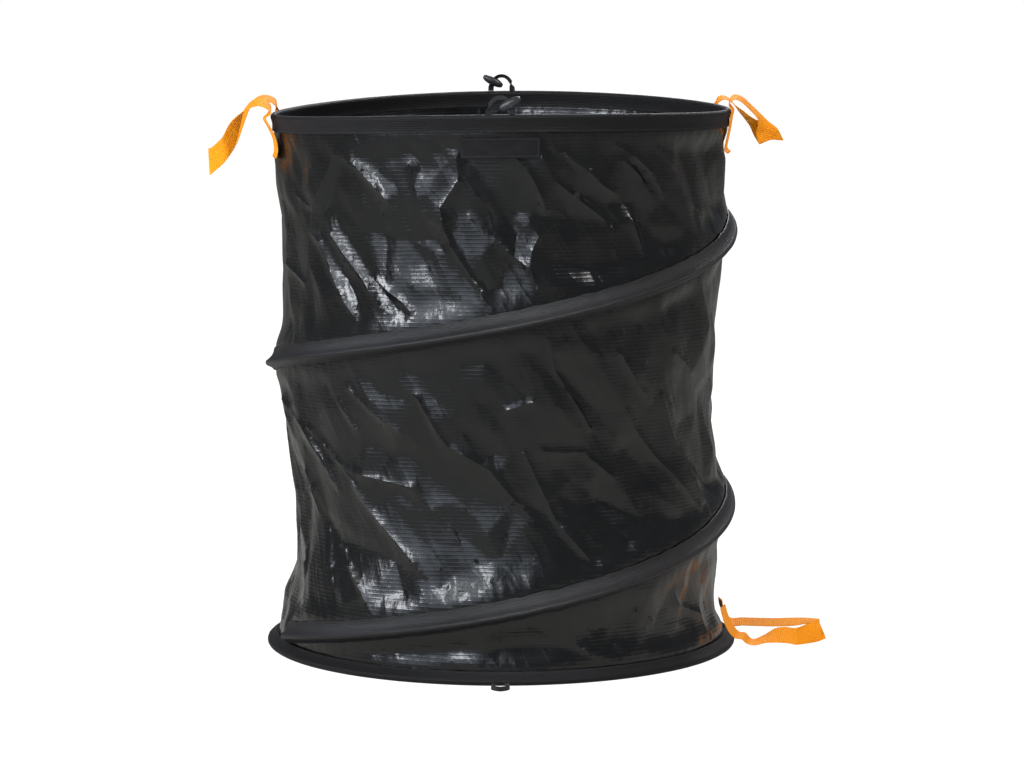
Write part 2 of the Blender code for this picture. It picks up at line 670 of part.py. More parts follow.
def toggle_ribbon(name, centre, material):
    """Make the ribbon arch that carries a toggle peg. It stands square on the rim and turns above."""
    place, outward, sideways = toggle_frame(centre)
    points = arch_points(place)
    widths = []
    for step in range(ARCH_STEPS + 1):
        height_share = min(1.0, 2 * math.sin(math.pi * step / ARCH_STEPS))
        widths.append(sideways.lerp(outward, height_share))
    ribbon = strap(name, points, widths, ARCH_STEPS, RIBBON_WIDTH, RIBBON, material)
    return hang(ribbon, place(0.0, 0.0, 0.0))


def toggle_peg(name, centre, material):
    """Make a tapered peg with a round cross hole, threaded on the ribbon's shoulder."""
    place, outward, _sideways = toggle_frame(centre)
    points = arch_points(place)
    spot = spline(points, PEG_PLACE_SHARE)
    run = direction_at(points, PEG_PLACE_SHARE, ARCH_STEPS)
    along = outward.cross(run).normalized()
    rings = []
    for reach, full in zip(PEG_REACH_SHARES, PEG_FULL_SHARES):
        radius = PEG_END_RADIUS + (PEG_RADIUS - PEG_END_RADIUS) * full
        middle = spot + along * PEG_LENGTH / 2 * reach
        rings.append(round_section(middle, outward, run, radius, PEG_SIDES))
    peg = skin_rings(name, rings, False, material, sharp=35)
    ribbon_sag = PEG_RADIUS**2 / ARCH_WIDTH
    hole = math.hypot(RIBBON_WIDTH / 2, RIBBON / 2 + ribbon_sag) / math.cos(math.pi / HOLE_SIDES) + CLEARANCE
    ends = [spot - run * PEG_RADIUS * 2, spot + run * PEG_RADIUS * 2]
    sections = [round_section(end, outward, along, hole, HOLE_SIDES) for end in ends]
    cutter = skin_rings(name + "_hole", sections, False, material)
    cutter.hide_render = True
    cutter.display_type = "WIRE"
    hang(peg, spot)
    cut = peg.modifiers.new("cross_hole", "BOOLEAN")
    cut.operation = "DIFFERENCE"
    cut.solver = "EXACT"
    cut.object = cutter
    return peg


def closure_loop(name, centre, material):
    """Make the ribbon loop that takes a toggle when the bag is flat. It lies on edge on the floor."""
    radius = BASE_RADIUS + FOLD_OUTER + CLEARANCE
    place, _outward, sideways = hinge_frame(centre, radius, RIBBON_WIDTH / 2 + CLEARANCE)
    half = CLOSURE_WIDTH / 2
    up = Vector((0, 0, 1))
    shares = zip(CLOSURE_OUT_SHARES, CLOSURE_SIDE_SHARES)
    route = [(CLOSURE_LENGTH * out, half * side) for out, side in shares]
    points = [place(out, -side, 0.0) for out, side in route]
    points += [place(out, side, 0.0) for out, side in reversed(route[:-1])]
    widths = [(-sideways).lerp(up, share) for share in CLOSURE_TURN_SHARES]
    widths += [sideways.lerp(up, share) for share in reversed(CLOSURE_TURN_SHARES[:-1])]
    loop = strap(name, points, widths, CLOSURE_STEPS, RIBBON_WIDTH, RIBBON, material)
    return hang(loop, place(0.0, 0.0, 0.0))


def build_base(film, tape, webbing, ribbon, steel, plastic):
    """Build what stays on the floor: hoop, seam, bottom, wall, spiral, and what is sewn low down."""
    make_wall(film)
    make_bottom_panel(film)
    section = folded_tape(FLANGE_ANGLE, BASE_FLANGE * LEG_SHARE, BASE_GAP)
    hoop_sleeve("base_sleeve", BASE_RADIUS, base_wire_height, section, tape)
    hoop_wire("base_hoop_wire", BASE_RADIUS, base_wire_height, BASE_FERRULE_ANGLE, steel)
    hoop_ferrule("base_hoop_ferrule", BASE_RADIUS, base_wire_height, BASE_FERRULE_ANGLE, steel)
    make_spiral_sleeve(tape)
    make_spiral_wire(steel)
    spiral_tip("spiral_bottom_tip", SPIRAL_START, 1, plastic)
    base_tail("base_handle_front_tail", BASE_AZIMUTH - TAIL_ANGLE, webbing)
    base_tail("base_handle_rear_tail", BASE_AZIMUTH + TAIL_ANGLE, webbing)
    base_handle_loop("base_handle_loop", BASE_AZIMUTH, BASE_REACH, webbing)
    closure_loop("front_closure_loop", FRONT_AZIMUTH, ribbon)
    closure_loop("rear_closure_loop", REAR_AZIMUTH, ribbon)


def build_rim(tape, webbing, ribbon, steel, plastic):
    """Build what goes down with the rim when the bag is pressed flat."""
    carrier = bpy.data.objects.new("rim_carrier", None)
    carrier.location = (0, 0, RIM_HEIGHT)
    bpy.context.collection.objects.link(carrier)
    section = folded_tape(90, RIM_TAPE_DROP, RIM_GAP)
    things = [
        hoop_sleeve("rim_sleeve", RIM_RADIUS, rim_wire_height, section, tape),
        hoop_wire("rim_hoop_wire", RIM_RADIUS, rim_wire_height, RIM_FERRULE_ANGLE, steel),
        hoop_ferrule("rim_hoop_ferrule", RIM_RADIUS, rim_wire_height, RIM_FERRULE_ANGLE, steel),
        spiral_tip("spiral_top_tip", SPIRAL_END, -1, plastic),
        make_label(ribbon),
        rim_handle_loop("left_handle_loop", LEFT_AZIMUTH, LEFT_REACH, LEFT_FALL, webbing),
        rim_handle_loop("right_handle_loop", RIGHT_AZIMUTH, RIGHT_REACH, RIGHT_FALL, webbing),
    ]
    tails = (("left", LEFT_AZIMUTH, 1), ("right", RIGHT_AZIMUTH, -1))
    for side, centre, front in tails:
        things.append(rim_tail(side + "_handle_front_tail", centre + front * TAIL_ANGLE, centre, webbing))
        things.append(rim_tail(side + "_handle_rear_tail", centre - front * TAIL_ANGLE, centre, webbing))
    for side, centre in (("front", FRONT_AZIMUTH), ("rear", REAR_AZIMUTH)):
        arch = toggle_ribbon(side + "_toggle_ribbon", centre, ribbon)
        peg = toggle_peg(side + "_toggle_peg", centre, plastic)
        carry(arch, [peg])
        things.append(arch)
    carry(carrier, things)


def build():
    """Build the bag."""
    clear_scene()
    film = finish_material("woven_film", FILM_BLACK, 0.25)
    tape = finish_material("black_tape", TAPE_BLACK, 0.75)
    webbing = finish_material("orange_webbing", ORANGE, 0.7)
    ribbon = finish_material("black_ribbon", TAPE_BLACK, 0.7)
    plastic = finish_material("black_plastic", FILM_BLACK, 0.4)
    steel = finish_material("spring_steel", STEEL_GREY, 0.3, 1.0)
    build_base(film, tape, webbing, ribbon, steel, plastic)
    build_rim(tape, webbing, ribbon, steel, plastic)


build()
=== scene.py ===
"""Looks of the pop up leaf bag: a glossy woven film tube on a spiral spring, with orange webbing handles."""

import math
import random

import bmesh
import bpy
from mathutils import Euler, Matrix, Vector, noise
from mathutils.bvhtree import BVHTree
from mathutils.geometry import delaunay_2d_cdt
from mathutils.kdtree import KDTree


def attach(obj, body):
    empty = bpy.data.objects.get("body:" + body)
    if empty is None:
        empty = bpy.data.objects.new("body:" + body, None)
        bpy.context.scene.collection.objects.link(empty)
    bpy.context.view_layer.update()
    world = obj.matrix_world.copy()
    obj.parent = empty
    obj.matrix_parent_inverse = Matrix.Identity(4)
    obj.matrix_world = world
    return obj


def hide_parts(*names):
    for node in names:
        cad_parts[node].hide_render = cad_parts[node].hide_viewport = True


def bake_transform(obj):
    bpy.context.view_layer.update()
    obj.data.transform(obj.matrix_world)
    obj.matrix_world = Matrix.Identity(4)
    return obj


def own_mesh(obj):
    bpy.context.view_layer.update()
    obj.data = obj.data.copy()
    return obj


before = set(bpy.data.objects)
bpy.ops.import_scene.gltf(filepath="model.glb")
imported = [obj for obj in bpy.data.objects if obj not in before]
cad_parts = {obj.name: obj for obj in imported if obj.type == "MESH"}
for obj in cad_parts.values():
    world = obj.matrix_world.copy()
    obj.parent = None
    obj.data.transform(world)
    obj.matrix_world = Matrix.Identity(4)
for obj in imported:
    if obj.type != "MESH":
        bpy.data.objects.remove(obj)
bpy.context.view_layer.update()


# Camera.
# A long lens nearly five metres in front of the bag and a little over its rim, pitched down at its middle.
# Places that are read from the photograph are given below in its pixels.
PHOTO_WIDTH = 1024
PHOTO_MIDDLE = Vector((512, 384))
FOCAL_PIXELS = 3784
SENSOR_WIDTH = 36.0
CAMERA_PLACE = Vector((0.0137, -4.7, 0.921))
CAMERA_PITCH = math.radians(7.236)

camera_data = bpy.data.cameras.new("camera")
camera_data.sensor_width = SENSOR_WIDTH
camera_data.lens = SENSOR_WIDTH * FOCAL_PIXELS / PHOTO_WIDTH
camera = bpy.data.objects.new("camera", camera_data)
bpy.context.scene.collection.objects.link(camera)
camera.location = CAMERA_PLACE
camera.rotation_euler = Euler((math.radians(90) - CAMERA_PITCH, 0, 0))
bpy.context.scene.camera = camera
bpy.context.scene.view_settings.view_transform = "Standard"


def seen_at(across, down, depth):
    """Return the point at a depth along Y that shows at a pixel of the photograph."""
    away = depth - CAMERA_PLACE.y
    fall = math.tan(CAMERA_PITCH + math.atan((down - PHOTO_MIDDLE.y) / FOCAL_PIXELS))
    height = CAMERA_PLACE.z - away * fall
    ahead = away * math.cos(CAMERA_PITCH) + (CAMERA_PLACE.z - height) * math.sin(CAMERA_PITCH)
    return Vector((CAMERA_PLACE.x + (across - PHOTO_MIDDLE.x) * ahead / FOCAL_PIXELS, depth, height))


# Finishes.
# Each finish of the bag is one Principled material; what varies over it is written as sums of signals.
class Signal:
    """What one socket gives over a surface. A sum written with it adds the Math nodes that it needs."""

    def __init__(self, finish, socket):
        self.finish = finish
        self.socket = socket

    def math(self, operation, first, second=0.0):
        return self.finish.node("Math", {"operation": operation}, {0: first, 1: second})

    def __add__(self, other):
        return self.math("ADD", self, other)

    def __sub__(self, other):
        return self.math("SUBTRACT", self, other)

    def __rsub__(self, other):
        return self.math("SUBTRACT", other, self)

    def __mul__(self, other):
        return self.math("MULTIPLY", self, other)

    def __pow__(self, other):
        return self.math("POWER", self, other)

    def wave(self, pitch):
        """Return a wave from 0 to 1 that repeats at a pitch along this signal."""
        return self.math("SINE", self * (2 * math.pi / pitch)) * 0.5 + 0.5


class Finish:
    """A finish: the Principled shader of one material, and the nodes that feed it."""

    def __init__(self, name, **sockets):
        self.material = bpy.data.materials.new(name)
        self.material.use_nodes = True
        self.tree = self.material.node_tree
        self.shader = self.tree.nodes["Principled BSDF"]
        self.put(**sockets)

    def put(self, **sockets):
        """Set or link the shader's sockets, named with underscores."""
        for name, value in sockets.items():
            self.feed(self.shader, name.replace("_", " ").title().replace("Ior", "IOR"), value)

    def feed(self, node, name, value):
        """Give one socket of a node its value or its link."""
        if isinstance(value, Signal):
            self.tree.links.new(value.socket, node.inputs[name])
        elif isinstance(value, tuple) and node.inputs[name].type == "RGBA":
            node.inputs[name].default_value = (*value, 1.0)
        else:
            node.inputs[name].default_value = value

    def node(self, kind, settings, inputs, output=0):
        """Add a node, its settings first, then the values or links of its sockets, and return an output."""
        made = self.tree.nodes.new("ShaderNode" + kind)
        for name, value in settings.items():
            setattr(made, name, value)
        for name, value in inputs.items():
            self.feed(made, name, value)
        return Signal(self, made.outputs[output])

    def place(self):
        """Return the place on the piece, in metres."""
        return self.node("TexCoord", {}, {}, "Object")

    def cloth(self, axis):
        """Return the distance along one axis of the cloth's own map, in metres."""
        place = self.node("UVMap", {"uv_map": "cloth"}, {})
        return self.node("SeparateXYZ", {}, {0: place}, axis)

    def mottle(self, scale, detail=2.0, place=None):
        """Return a cloudy variation from 0 to 1."""
        inputs = {"Vector": place or self.place(), "Scale": scale, "Detail": detail}
        return self.node("TexNoise", {}, inputs, "Fac")

    def tint(self, share, first, second):
        """Return a colour that goes from a first to a second with a signal."""
        return self.node("Mix", {"data_type": "RGBA"}, {0: share, 6: first, 7: second}, 2)

    def paint(self, share, first, second):
        """Colour the shader from a first to a second colour with a signal."""
        self.put(base_color=self.tint(share, first, second))

    def relief(self, height, depth):
        """Feed the shader's normal with a relief of a depth in metres."""
        self.put(normal=self.node("Bump", {}, {"Height": height, "Distance": depth}))


# Studio.
# A pale floor that shows white to the lens and keeps the bag's shadow, a pale sky and five soft boxes. The
# large one on the left gives the film its broad sheen, and the two narrow ones beside it its streaks.
FLOOR_SIZE = 60.0
FLOOR_PAINT = (0.88, 0.87, 0.85)
FLOOR_GLOW_SHARE = 0.82
FLOOR_WHITE = 1.16
FLOOR_NEAR = 0.45
FLOOR_FAR = 1.6
FLOOR_NEAR_GLOW = 0.36
FLOOR_FAR_GLOW = 0.11
FLOOR_MIRRORED = (1.0, 0.97, 0.88)
SKY_PLAIN = 0.62
SKY_LOW = 0.145
SKY_HIGH = (0.085, 0.10, 0.12)
SKY_CLIMB = (0.02, 0.35)
WHITE = (1.0, 1.0, 1.0)
BOXES_AIM = Vector((0, 0, 0.35))

bpy.ops.mesh.primitive_plane_add(size=FLOOR_SIZE, location=(0, 0, 0))
floor = bpy.context.object
floor.name = "floor"
floor_finish = Finish("floor_paper", base_color=FLOOR_PAINT, roughness=0.9, specular_ior_level=0.0)
rays = {name: floor_finish.node("LightPath", {}, {}, name)
        for name in ("Is Camera Ray", "Is Glossy Ray", "Is Transmission Ray")}
reach = floor_finish.node("VectorMath", {"operation": "LENGTH"}, {0: floor_finish.place()}, "Value")
lit = floor_finish.node("MapRange", {"interpolation_type": "SMOOTHSTEP"},
                        {"Value": reach, "From Min": FLOOR_NEAR, "From Max": FLOOR_FAR,
                         "To Min": FLOOR_NEAR_GLOW, "To Max": FLOOR_FAR_GLOW})
mirrored = rays["Is Glossy Ray"] + rays["Is Transmission Ray"]
glow = rays["Is Camera Ray"] * FLOOR_WHITE + mirrored * lit
floor_output = floor_finish.tree.nodes["Material Output"]
paper = floor_finish.tint(mirrored, WHITE, FLOOR_MIRRORED)
white = floor_finish.node("Emission", {}, {"Color": paper, "Strength": glow})
seen = (rays["Is Camera Ray"] + mirrored) * FLOOR_GLOW_SHARE
paint = Signal(floor_finish, floor_finish.shader.outputs[0])
mixed = floor_finish.node("MixShader", {}, {0: seen, 1: paint, 2: white})
floor_finish.tree.links.new(mixed.socket, floor_output.inputs["Surface"])
floor.data.materials.append(floor_finish.material)

world = bpy.data.worlds.new("studio")
bpy.context.scene.world = world
world.use_nodes = True


class Sky(Finish):
    """The studio's surround, which is a world's node tree."""

    def __init__(self, world):
        self.tree = world.node_tree


sky = Sky(world)
shown = sky.node("LightPath", {}, {}, "Is Camera Ray")
mirror = sky.node("LightPath", {}, {}, "Is Glossy Ray")
upward = sky.node("SeparateXYZ", {}, {0: sky.node("TexCoord", {}, {}, "Generated")}, "Z")
climb = sky.node("MapRange", {"interpolation_type": "SMOOTHSTEP"},
                 {"Value": upward, "From Min": SKY_CLIMB[0], "From Max": SKY_CLIMB[1]})
high = sky.tint(climb, (SKY_LOW,) * 3, SKY_HIGH)
surround = sky.tint(mirror, (SKY_PLAIN,) * 3, high)
backdrop = sky.tint(shown, surround, WHITE)
background = world.node_tree.nodes["Background"]
world.node_tree.links.new(backdrop.socket, background.inputs["Color"])

# Each soft box: its name, azimuth from the lens (left is minus), elevation, distance, width, height, power
# and colour
SOFT_BOXES = (
    ("key_box", -56, 32, 3.0, 0.46, 1.3, 47.0, (0.92, 0.95, 1.0)),
    ("front_box", -22, 36, 3.2, 0.40, 1.1, 36.0, (0.92, 0.95, 1.0)),
    ("sheen_box", -34, 19, 3.4, 3.7, 2.1, 35.0, (0.78, 0.87, 1.0)),
    ("side_box", 62, 48, 3.2, 0.7, 0.9, 34.0, (1.0, 0.98, 0.95)),
    ("back_box", 165, 42, 3.2, 1.3, 0.9, 70.0, (0.95, 0.97, 1.0)),
)
for name, azimuth, elevation, away, wide, tall, power, colour in SOFT_BOXES:
    lamp = bpy.data.lights.new(name, "AREA")
    lamp.shape = "RECTANGLE"
    lamp.size = wide
    lamp.size_y = tall
    lamp.energy = power
    lamp.color = colour
    box = bpy.data.objects.new(name, lamp)
    bpy.context.scene.collection.objects.link(box)
    turn = math.radians(azimuth)
    rise = math.radians(elevation)
    aim = Vector((math.sin(turn) * math.cos(rise), -math.cos(turn) * math.cos(rise), math.sin(rise)))
    box.location = BOXES_AIM + aim * away
    box.rotation_euler = aim.to_track_quat("Z", "Y").to_euler()
    box.visible_camera = False


# Film wall.
# One sheet of glossy black woven film sewn into a tube, hung between rim and base sleeve and tied to the
# spiral between them. It necks in below the seams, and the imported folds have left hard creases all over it.
RIM_RADIUS = 0.2815
RIM_WIRE = 0.66788
RIM_SADDLE = 0.005
RIM_LEAN = 0.003
RIM_TAPE_DROP = 0.0170
WALL_RADIUS = 0.2815
BASE_RADIUS = 0.2900
BASE_WIRE = 0.00412
BASE_FLANGE = 0.0150
FOOT_RADIUS = 0.2794
FOOT_RISE = 0.050
SPIRAL_RADIUS = 0.2900
SPIRAL_HEIGHT = 0.17949
SPIRAL_PITCH = 0.34282
SPIRAL_DIP = 0.011
SPIRAL_START = -157.5
SPIRAL_END = 465.0
SPIRAL_ABOVE = 0.0180
SPIRAL_BELOW = 0.0090
NECK_DEPTH = 0.026
NECK_LOW_SHARE = 0.82
FRONT = -90.0
GIRTH = 2 * math.pi * WALL_RADIUS
WALL_FOOT = 0.0135
WALL_TOP = RIM_WIRE - 0.005
WALL_TALL = WALL_TOP - WALL_FOOT
FILM_THICK = 0.0005
FILM_SHARP = 32
FILM_RIB_PITCH = 0.0047
FILM_THREAD_PITCH = 0.0056
LOOSE_REACH = 0.030
LIFT_MOST = 0.003
SWAY = 0.0020
PUCKER_PITCH = 0.0031
PUCKER_DRIFT = 0.019
PUCKER_REACH = 0.012
PUCKER_DEPTH = 0.0007
BAG_MIDDLE_PIXEL = 501
BAG_HALF_PIXELS = 228
SIGHT_LIMIT = 0.995
CREASE_LEAN = math.radians(60)
BIG_CREASES = 150
BIG_LIFT = 0.0080
BIG_STRETCH = 2.3
SMALL_CREASES = 1300
SMALL_LIFT = 0.0033
SMALL_STRETCH = 1.5
CREASE_SEED = 7
CREASE_SPACE = 0.62
CREASE_TRIES = 40
OVERLAP_SHARE = 0.72
ROUNDINGS = 1
MESH_TINY = 1e-7
SEAM_MARGIN = 0.12
CELL = 0.0056
FOLD_DEPTH = 0.0120
RIDGE_DEPTH = 35
RIDGE_PROUD = 0.0022
RIDGE_WIDTH = 0.0030

# The folds of the film as the photograph shows them: places across and down it in pixels, and how far in
# the film is there, from 0 on a ridge to 100 at the bottom of a valley
FOLDS = (
    ((341, 152, 10), (316, 206, 10), (312, 229, 20)),
    ((349, 158, 45), (329, 206, 50), (320, 230, 45)),
    ((312, 229, 20), (322, 240, 15), (333, 272, 10), (348, 302, 12), (358, 316, 30)),
    ((328, 236, 35), (342, 272, 45), (358, 300, 45), (366, 313, 40)),
    ((334, 233, 15), (346, 254, 8), (359, 272, 5), (374, 293, 8), (384, 308, 20), (393, 314, 30)),
    ((366, 268, 40), (380, 288, 50), (393, 304, 50), (403, 317, 40)),
    ((378, 280, 20), (391, 292, 10), (405, 303, 10), (415, 315, 20), (421, 326, 30)),
    ((345, 232, 70), (364, 232, 75), (389, 238, 80), (413, 243, 80), (437, 243, 80)),
    ((392, 202, 15), (389, 238, 80), (391, 276, 35)),
    ((357, 160, 12), (369, 174, 8), (380, 187, 8), (392, 202, 15)),
    ((366, 160, 40), (380, 172, 50), (400, 190, 55)),
    ((412, 151, 45), (414, 168, 20), (419, 190, 20), (426, 216, 35), (437, 243, 80)),
    ((460, 184, 20), (443, 210, 10), (446, 232, 10), (455, 252, 8), (470, 276, 8), (487, 305, 30)),
    ((437, 243, 80), (446, 260, 45), (460, 281, 40), (476, 305, 40)),
    ((412, 151, 45), (440, 148, 50), (466, 155, 50), (504, 166, 45)),
    ((514, 160, 30), (530, 180, 8), (541, 203, 8), (545, 214, 25)),
    ((554, 186, 20), (580, 198, 55), (604, 207, 60)),
    ((554, 186, 20), (580, 206, 10), (605, 225, 35)),
    ((540, 219, 60), (570, 223, 65), (605, 225, 35)),
    ((604, 207, 60), (630, 208, 65), (655, 207, 45)),
    ((540, 219, 60), (539, 238, 20), (531, 256, 10), (529, 272, 10), (534, 286, 30)),
    ((518, 236, 60), (514, 262, 60)),
    ((549, 150, 30), (566, 162, 10), (585, 175, 10), (599, 189, 15), (613, 197, 30)),
    ((613, 149, 30), (633, 161, 10), (649, 176, 10), (661, 197, 25)),
    ((618, 162, 15), (636, 180, 10), (655, 207, 45)),
    ((634, 169, 45), (648, 188, 45)),
    ((656, 150, 30), (670, 175, 8), (679, 194, 10), (699, 214, 30)),
    ((604, 207, 60), (610, 232, 35), (613, 256, 30), (621, 272, 40)),
    ((629, 222, 15), (642, 260, 20)),
    ((483, 232, 40), (497, 243, 15), (510, 258, 12), (524, 268, 30)),
    ((463, 217, 60), (504, 217, 60)),
    ((297, 190, 15), (309, 203, 25)),
    ((284, 259, 10), (303, 280, 35)),
    ((350, 386, 35), (377, 414, 15), (403, 434, 15), (415, 448, 45)),
    ((406, 364, 40), (419, 398, 15), (439, 436, 20), (448, 449, 30)),
    ((341, 402, 35), (356, 431, 30), (363, 444, 60), (341, 470, 25)),
    ((363, 444, 60), (390, 454, 70), (415, 456, 70), (437, 457, 70)),
    ((341, 470, 25), (372, 480, 20), (412, 490, 10)),
    ((307, 425, 35), (341, 470, 25), (365, 512, 10), (390, 539, 10), (412, 563, 12), (430, 584, 40)),
    ((380, 497, 50), (402, 522, 50), (424, 548, 50), (438, 570, 50)),
    ((346, 500, 45), (354, 547, 70), (392, 565, 70), (430, 584, 40)),
    ((332, 542, 50), (354, 547, 70)),
    ((437, 457, 70), (462, 481, 65), (479, 493, 60), (505, 506, 60)),
    ((448, 449, 30), (470, 462, 10), (490, 474, 10), (512, 500, 12), (533, 522, 30)),
    ((479, 493, 60), (470, 519, 65), (461, 548, 65), (450, 577, 65), (446, 603, 60)),
    ((280, 396, 30), (301, 423, 15), (316, 456, 10), (331, 489, 30)),
    ((299, 470, 15), (307, 510, 15), (319, 534, 45)),
    ((324, 540, 45), (343, 567, 15), (363, 592, 12), (376, 618, 30)),
    ((430, 584, 40), (429, 606, 50), (446, 603, 60), (505, 600, 60)),
    ((460, 431, 60), (488, 442, 60)),
    ((546, 338, 30), (551, 356, 25), (554, 373, 30), (579, 412, 8), (592, 432, 20)),
    ((554, 373, 30), (576, 392, 60), (597, 412, 70), (606, 428, 55)),
    ((543, 455, 20), (565, 455, 12), (584, 455, 10), (615, 479, 8), (648, 522, 40)),
    ((543, 455, 20), (572, 484, 70), (602, 502, 70), (648, 522, 40)),
    ((526, 458, 30), (543, 494, 15), (559, 527, 10), (582, 553, 10), (602, 576, 30)),
    ((505, 414, 20), (533, 405, 15)),
    ((610, 335, 40), (618, 356, 20), (638, 387, 15), (653, 402, 30)),
    ((630, 415, 20), (640, 433, 12), (661, 458, 10), (684, 484, 12), (703, 510, 35)),
    ((622, 440, 50), (646, 468, 55), (668, 494, 50)),
    ((666, 397, 30), (679, 438, 15), (694, 469, 15), (706, 500, 30)),
    ((658, 325, 40), (674, 354, 20), (697, 373, 30)),
    ((674, 392, 50), (712, 392, 50)),
    ((634, 612, 30), (655, 622, 25), (699, 630, 40)),
    ((677, 592, 35), (683, 606, 20), (707, 614, 30)),
    ((540, 636, 50), (579, 649, 20), (618, 663, 35)),
    ((430, 652, 40), (452, 661, 20), (474, 664, 30)),
)

# Corners of the film out of the photograph's sight: turn from the front, share of the height, and depth as
# above
SIDE_CORNERS = (
    (-0.24, 0.12, 60), (-0.22, 0.30, 20), (-0.25, 0.45, 70), (-0.23, 0.62, 20), (-0.24, 0.80, 60),
    (0.22, 0.12, 20), (0.24, 0.33, 60), (0.22, 0.52, 20), (0.24, 0.70, 60), (0.22, 0.88, 20),
    (-0.03, 0.94, 0), (0.03, 0.94, 0), (-0.03, 1.0, 0), (0.03, 1.0, 0),
    (-0.19, -0.05, 40), (-0.09, -0.05, 40), (0.0, -0.05, 40), (0.09, -0.05, 40), (0.19, -0.05, 40),
    (-0.19, 1.05, 40), (-0.09, 1.05, 40), (0.0, 1.05, 20), (0.09, 1.05, 40), (0.19, 1.05, 40),
)

draws = random.Random(CREASE_SEED)


def polar(radius, degrees, height):
    """Return the point at a radius, an azimuth from +X and a height."""
    angle = math.radians(degrees)
    return Vector((radius * math.cos(angle), radius * math.sin(angle), height))


def rim_lift(degrees):
    """Return how far the rim stands over its mean height at an azimuth."""
    angle = math.radians(degrees)
    return RIM_LEAN * math.cos(angle) - RIM_SADDLE * math.cos(2 * angle)


def spiral_height(degrees):
    """Return the height of the spiral wire at a running azimuth."""
    return SPIRAL_HEIGHT + SPIRAL_PITCH * degrees / 360 + SPIRAL_DIP * math.sin(math.radians(degrees))


def smooth(value):
    """Return a smooth step of a value clamped from 0 to 1."""
    share = min(max(value, 0.0), 1.0)
    return share * share * (3 - 2 * share)


def seam_span(degrees, height):
    """Return the heights of the seams below and above a point of the wall, which are equal on a seam."""
    above = RIM_WIRE - RIM_TAPE_DROP + rim_lift(degrees)
    below = BASE_FLANGE
    running = degrees % 360 - 720
    while running < 720:
        if SPIRAL_START <= running <= SPIRAL_END:
            lower_edge = spiral_height(running) - SPIRAL_BELOW
            upper_edge = spiral_height(running) + SPIRAL_ABOVE
            if lower_edge < height < upper_edge:
                return height, height
            if lower_edge >= height:
                above = min(above, lower_edge)
            else:
                below = max(below, upper_edge)
        running += 360
    return below, above


def tube_radius(degrees, height):
    """Return the wall's radius without its creases."""
    below, above = seam_span(degrees, height)
    share = min(max(1 - (height - BASE_FLANGE) / FOOT_RISE, 0.0), 1.0)
    draw = (WALL_RADIUS - FOOT_RADIUS) * smooth(share)
    if above - below < 0.004 or not below < height < above:
        return WALL_RADIUS - draw
    slack = NECK_DEPTH * (1 - height / RIM_WIRE) * min(1.0, (above - below) / SPIRAL_PITCH)
    within = ((height - below) / (above - below)) ** NECK_LOW_SHARE
    return WALL_RADIUS - max(draw, slack * math.sin(math.pi * within) ** 2)


def on_cloth(across, down):
    """Return the place on the unrolled film, measured from its front and its foot, that shows at a pixel."""
    turned = math.asin(min(max((across - BAG_MIDDLE_PIXEL) / BAG_HALF_PIXELS, -SIGHT_LIMIT), SIGHT_LIMIT))
    spot = seen_at(across, down, -WALL_RADIUS * math.cos(turned))
    return Vector((turned * WALL_RADIUS, spot.z - WALL_FOOT))


def fold_net():
    """Return the corners, lifts and runs of the photograph's folds, with the corners at the sides."""
    corners, lifts, runs = [], [], []

    def add_corner(spot, depth):
        for index, other in enumerate(corners):
            if (other - spot).length < CELL / 2:
                return index
        corners.append(spot)
        lifts.append(-FOLD_DEPTH * (depth / 100))
        return len(corners) - 1

    for fold in FOLDS:
        along = [add_corner(on_cloth(across, down), depth) for across, down, depth in fold]
        runs.extend(zip(along, along[1:]))
    for turn, rise, depth in SIDE_CORNERS:
        add_corner(Vector((turn * GIRTH, rise * WALL_TALL)), depth)
    return corners, lifts, runs


def crease_net(count, height, stretch, start=((), (), ())):
    """Return the corners, lifts and triangles of a net of creases that repeats round the bag."""
    run = Vector((math.cos(CREASE_LEAN), -math.sin(CREASE_LEAN)))
    cross = Vector((-run.y, run.x))
    least = math.sqrt(GIRTH * WALL_TALL / count) * CREASE_SPACE
    corners, lifts, tied = [list(part) for part in start]
    fixed = len(corners)
    tries = 0
    while len(corners) < count + fixed and tries < count * CREASE_TRIES:
        tries += 1
        spot = Vector(((draws.random() - 0.5) * GIRTH, (draws.random() * 1.1 - 0.05) * WALL_TALL))
        near = False
        for other in corners:
            away = spot - other
            away.x -= round(away.x / GIRTH) * GIRTH
            if math.hypot(away.dot(run) / stretch, away.dot(cross)) < least / math.sqrt(stretch):
                near = True
                break
        if near:
            continue
        corners.append(spot)
        lifts.append((draws.random() * 2 - 1) * height - (FOLD_DEPTH / 2 if fixed else 0))
    every, every_lift, edges = [], [], []
    for turn in (-1, 0, 1):
        kept = {}
        for index, (spot, lift) in enumerate(zip(corners, lifts)):
            shifted = Vector((spot.x + turn * GIRTH, spot.y))
            if abs(shifted.x) < GIRTH * OVERLAP_SHARE:
                kept[index] = len(every)
                every.append(shifted)
                every_lift.append(lift)
        edges.extend((kept[first], kept[last]) for first, last in tied if first in kept and last in kept)
    pulled = [Vector((spot.dot(run) / stretch, spot.dot(cross))) for spot in every]
    made = delaunay_2d_cdt(pulled, edges, [], 0, MESH_TINY, True)
    spots = [run * spot.x * stretch + cross * spot.y for spot in made[0]]
    ends = []
    for spot, came in zip(spots, made[3]):
        nearest = came[0] if came else min(range(len(every)), key=lambda other: (every[other] - spot).length)
        ends.append(every_lift[nearest])
    return spots, ends, [tuple(face) for face in made[2]]


def net_tree(net):
    """Return a tree that gives a net's lift at any place of the cloth."""
    corners, lifts, faces = net
    return BVHTree.FromPolygons([(spot.x, spot.y, lift) for spot, lift in zip(corners, lifts)], faces)


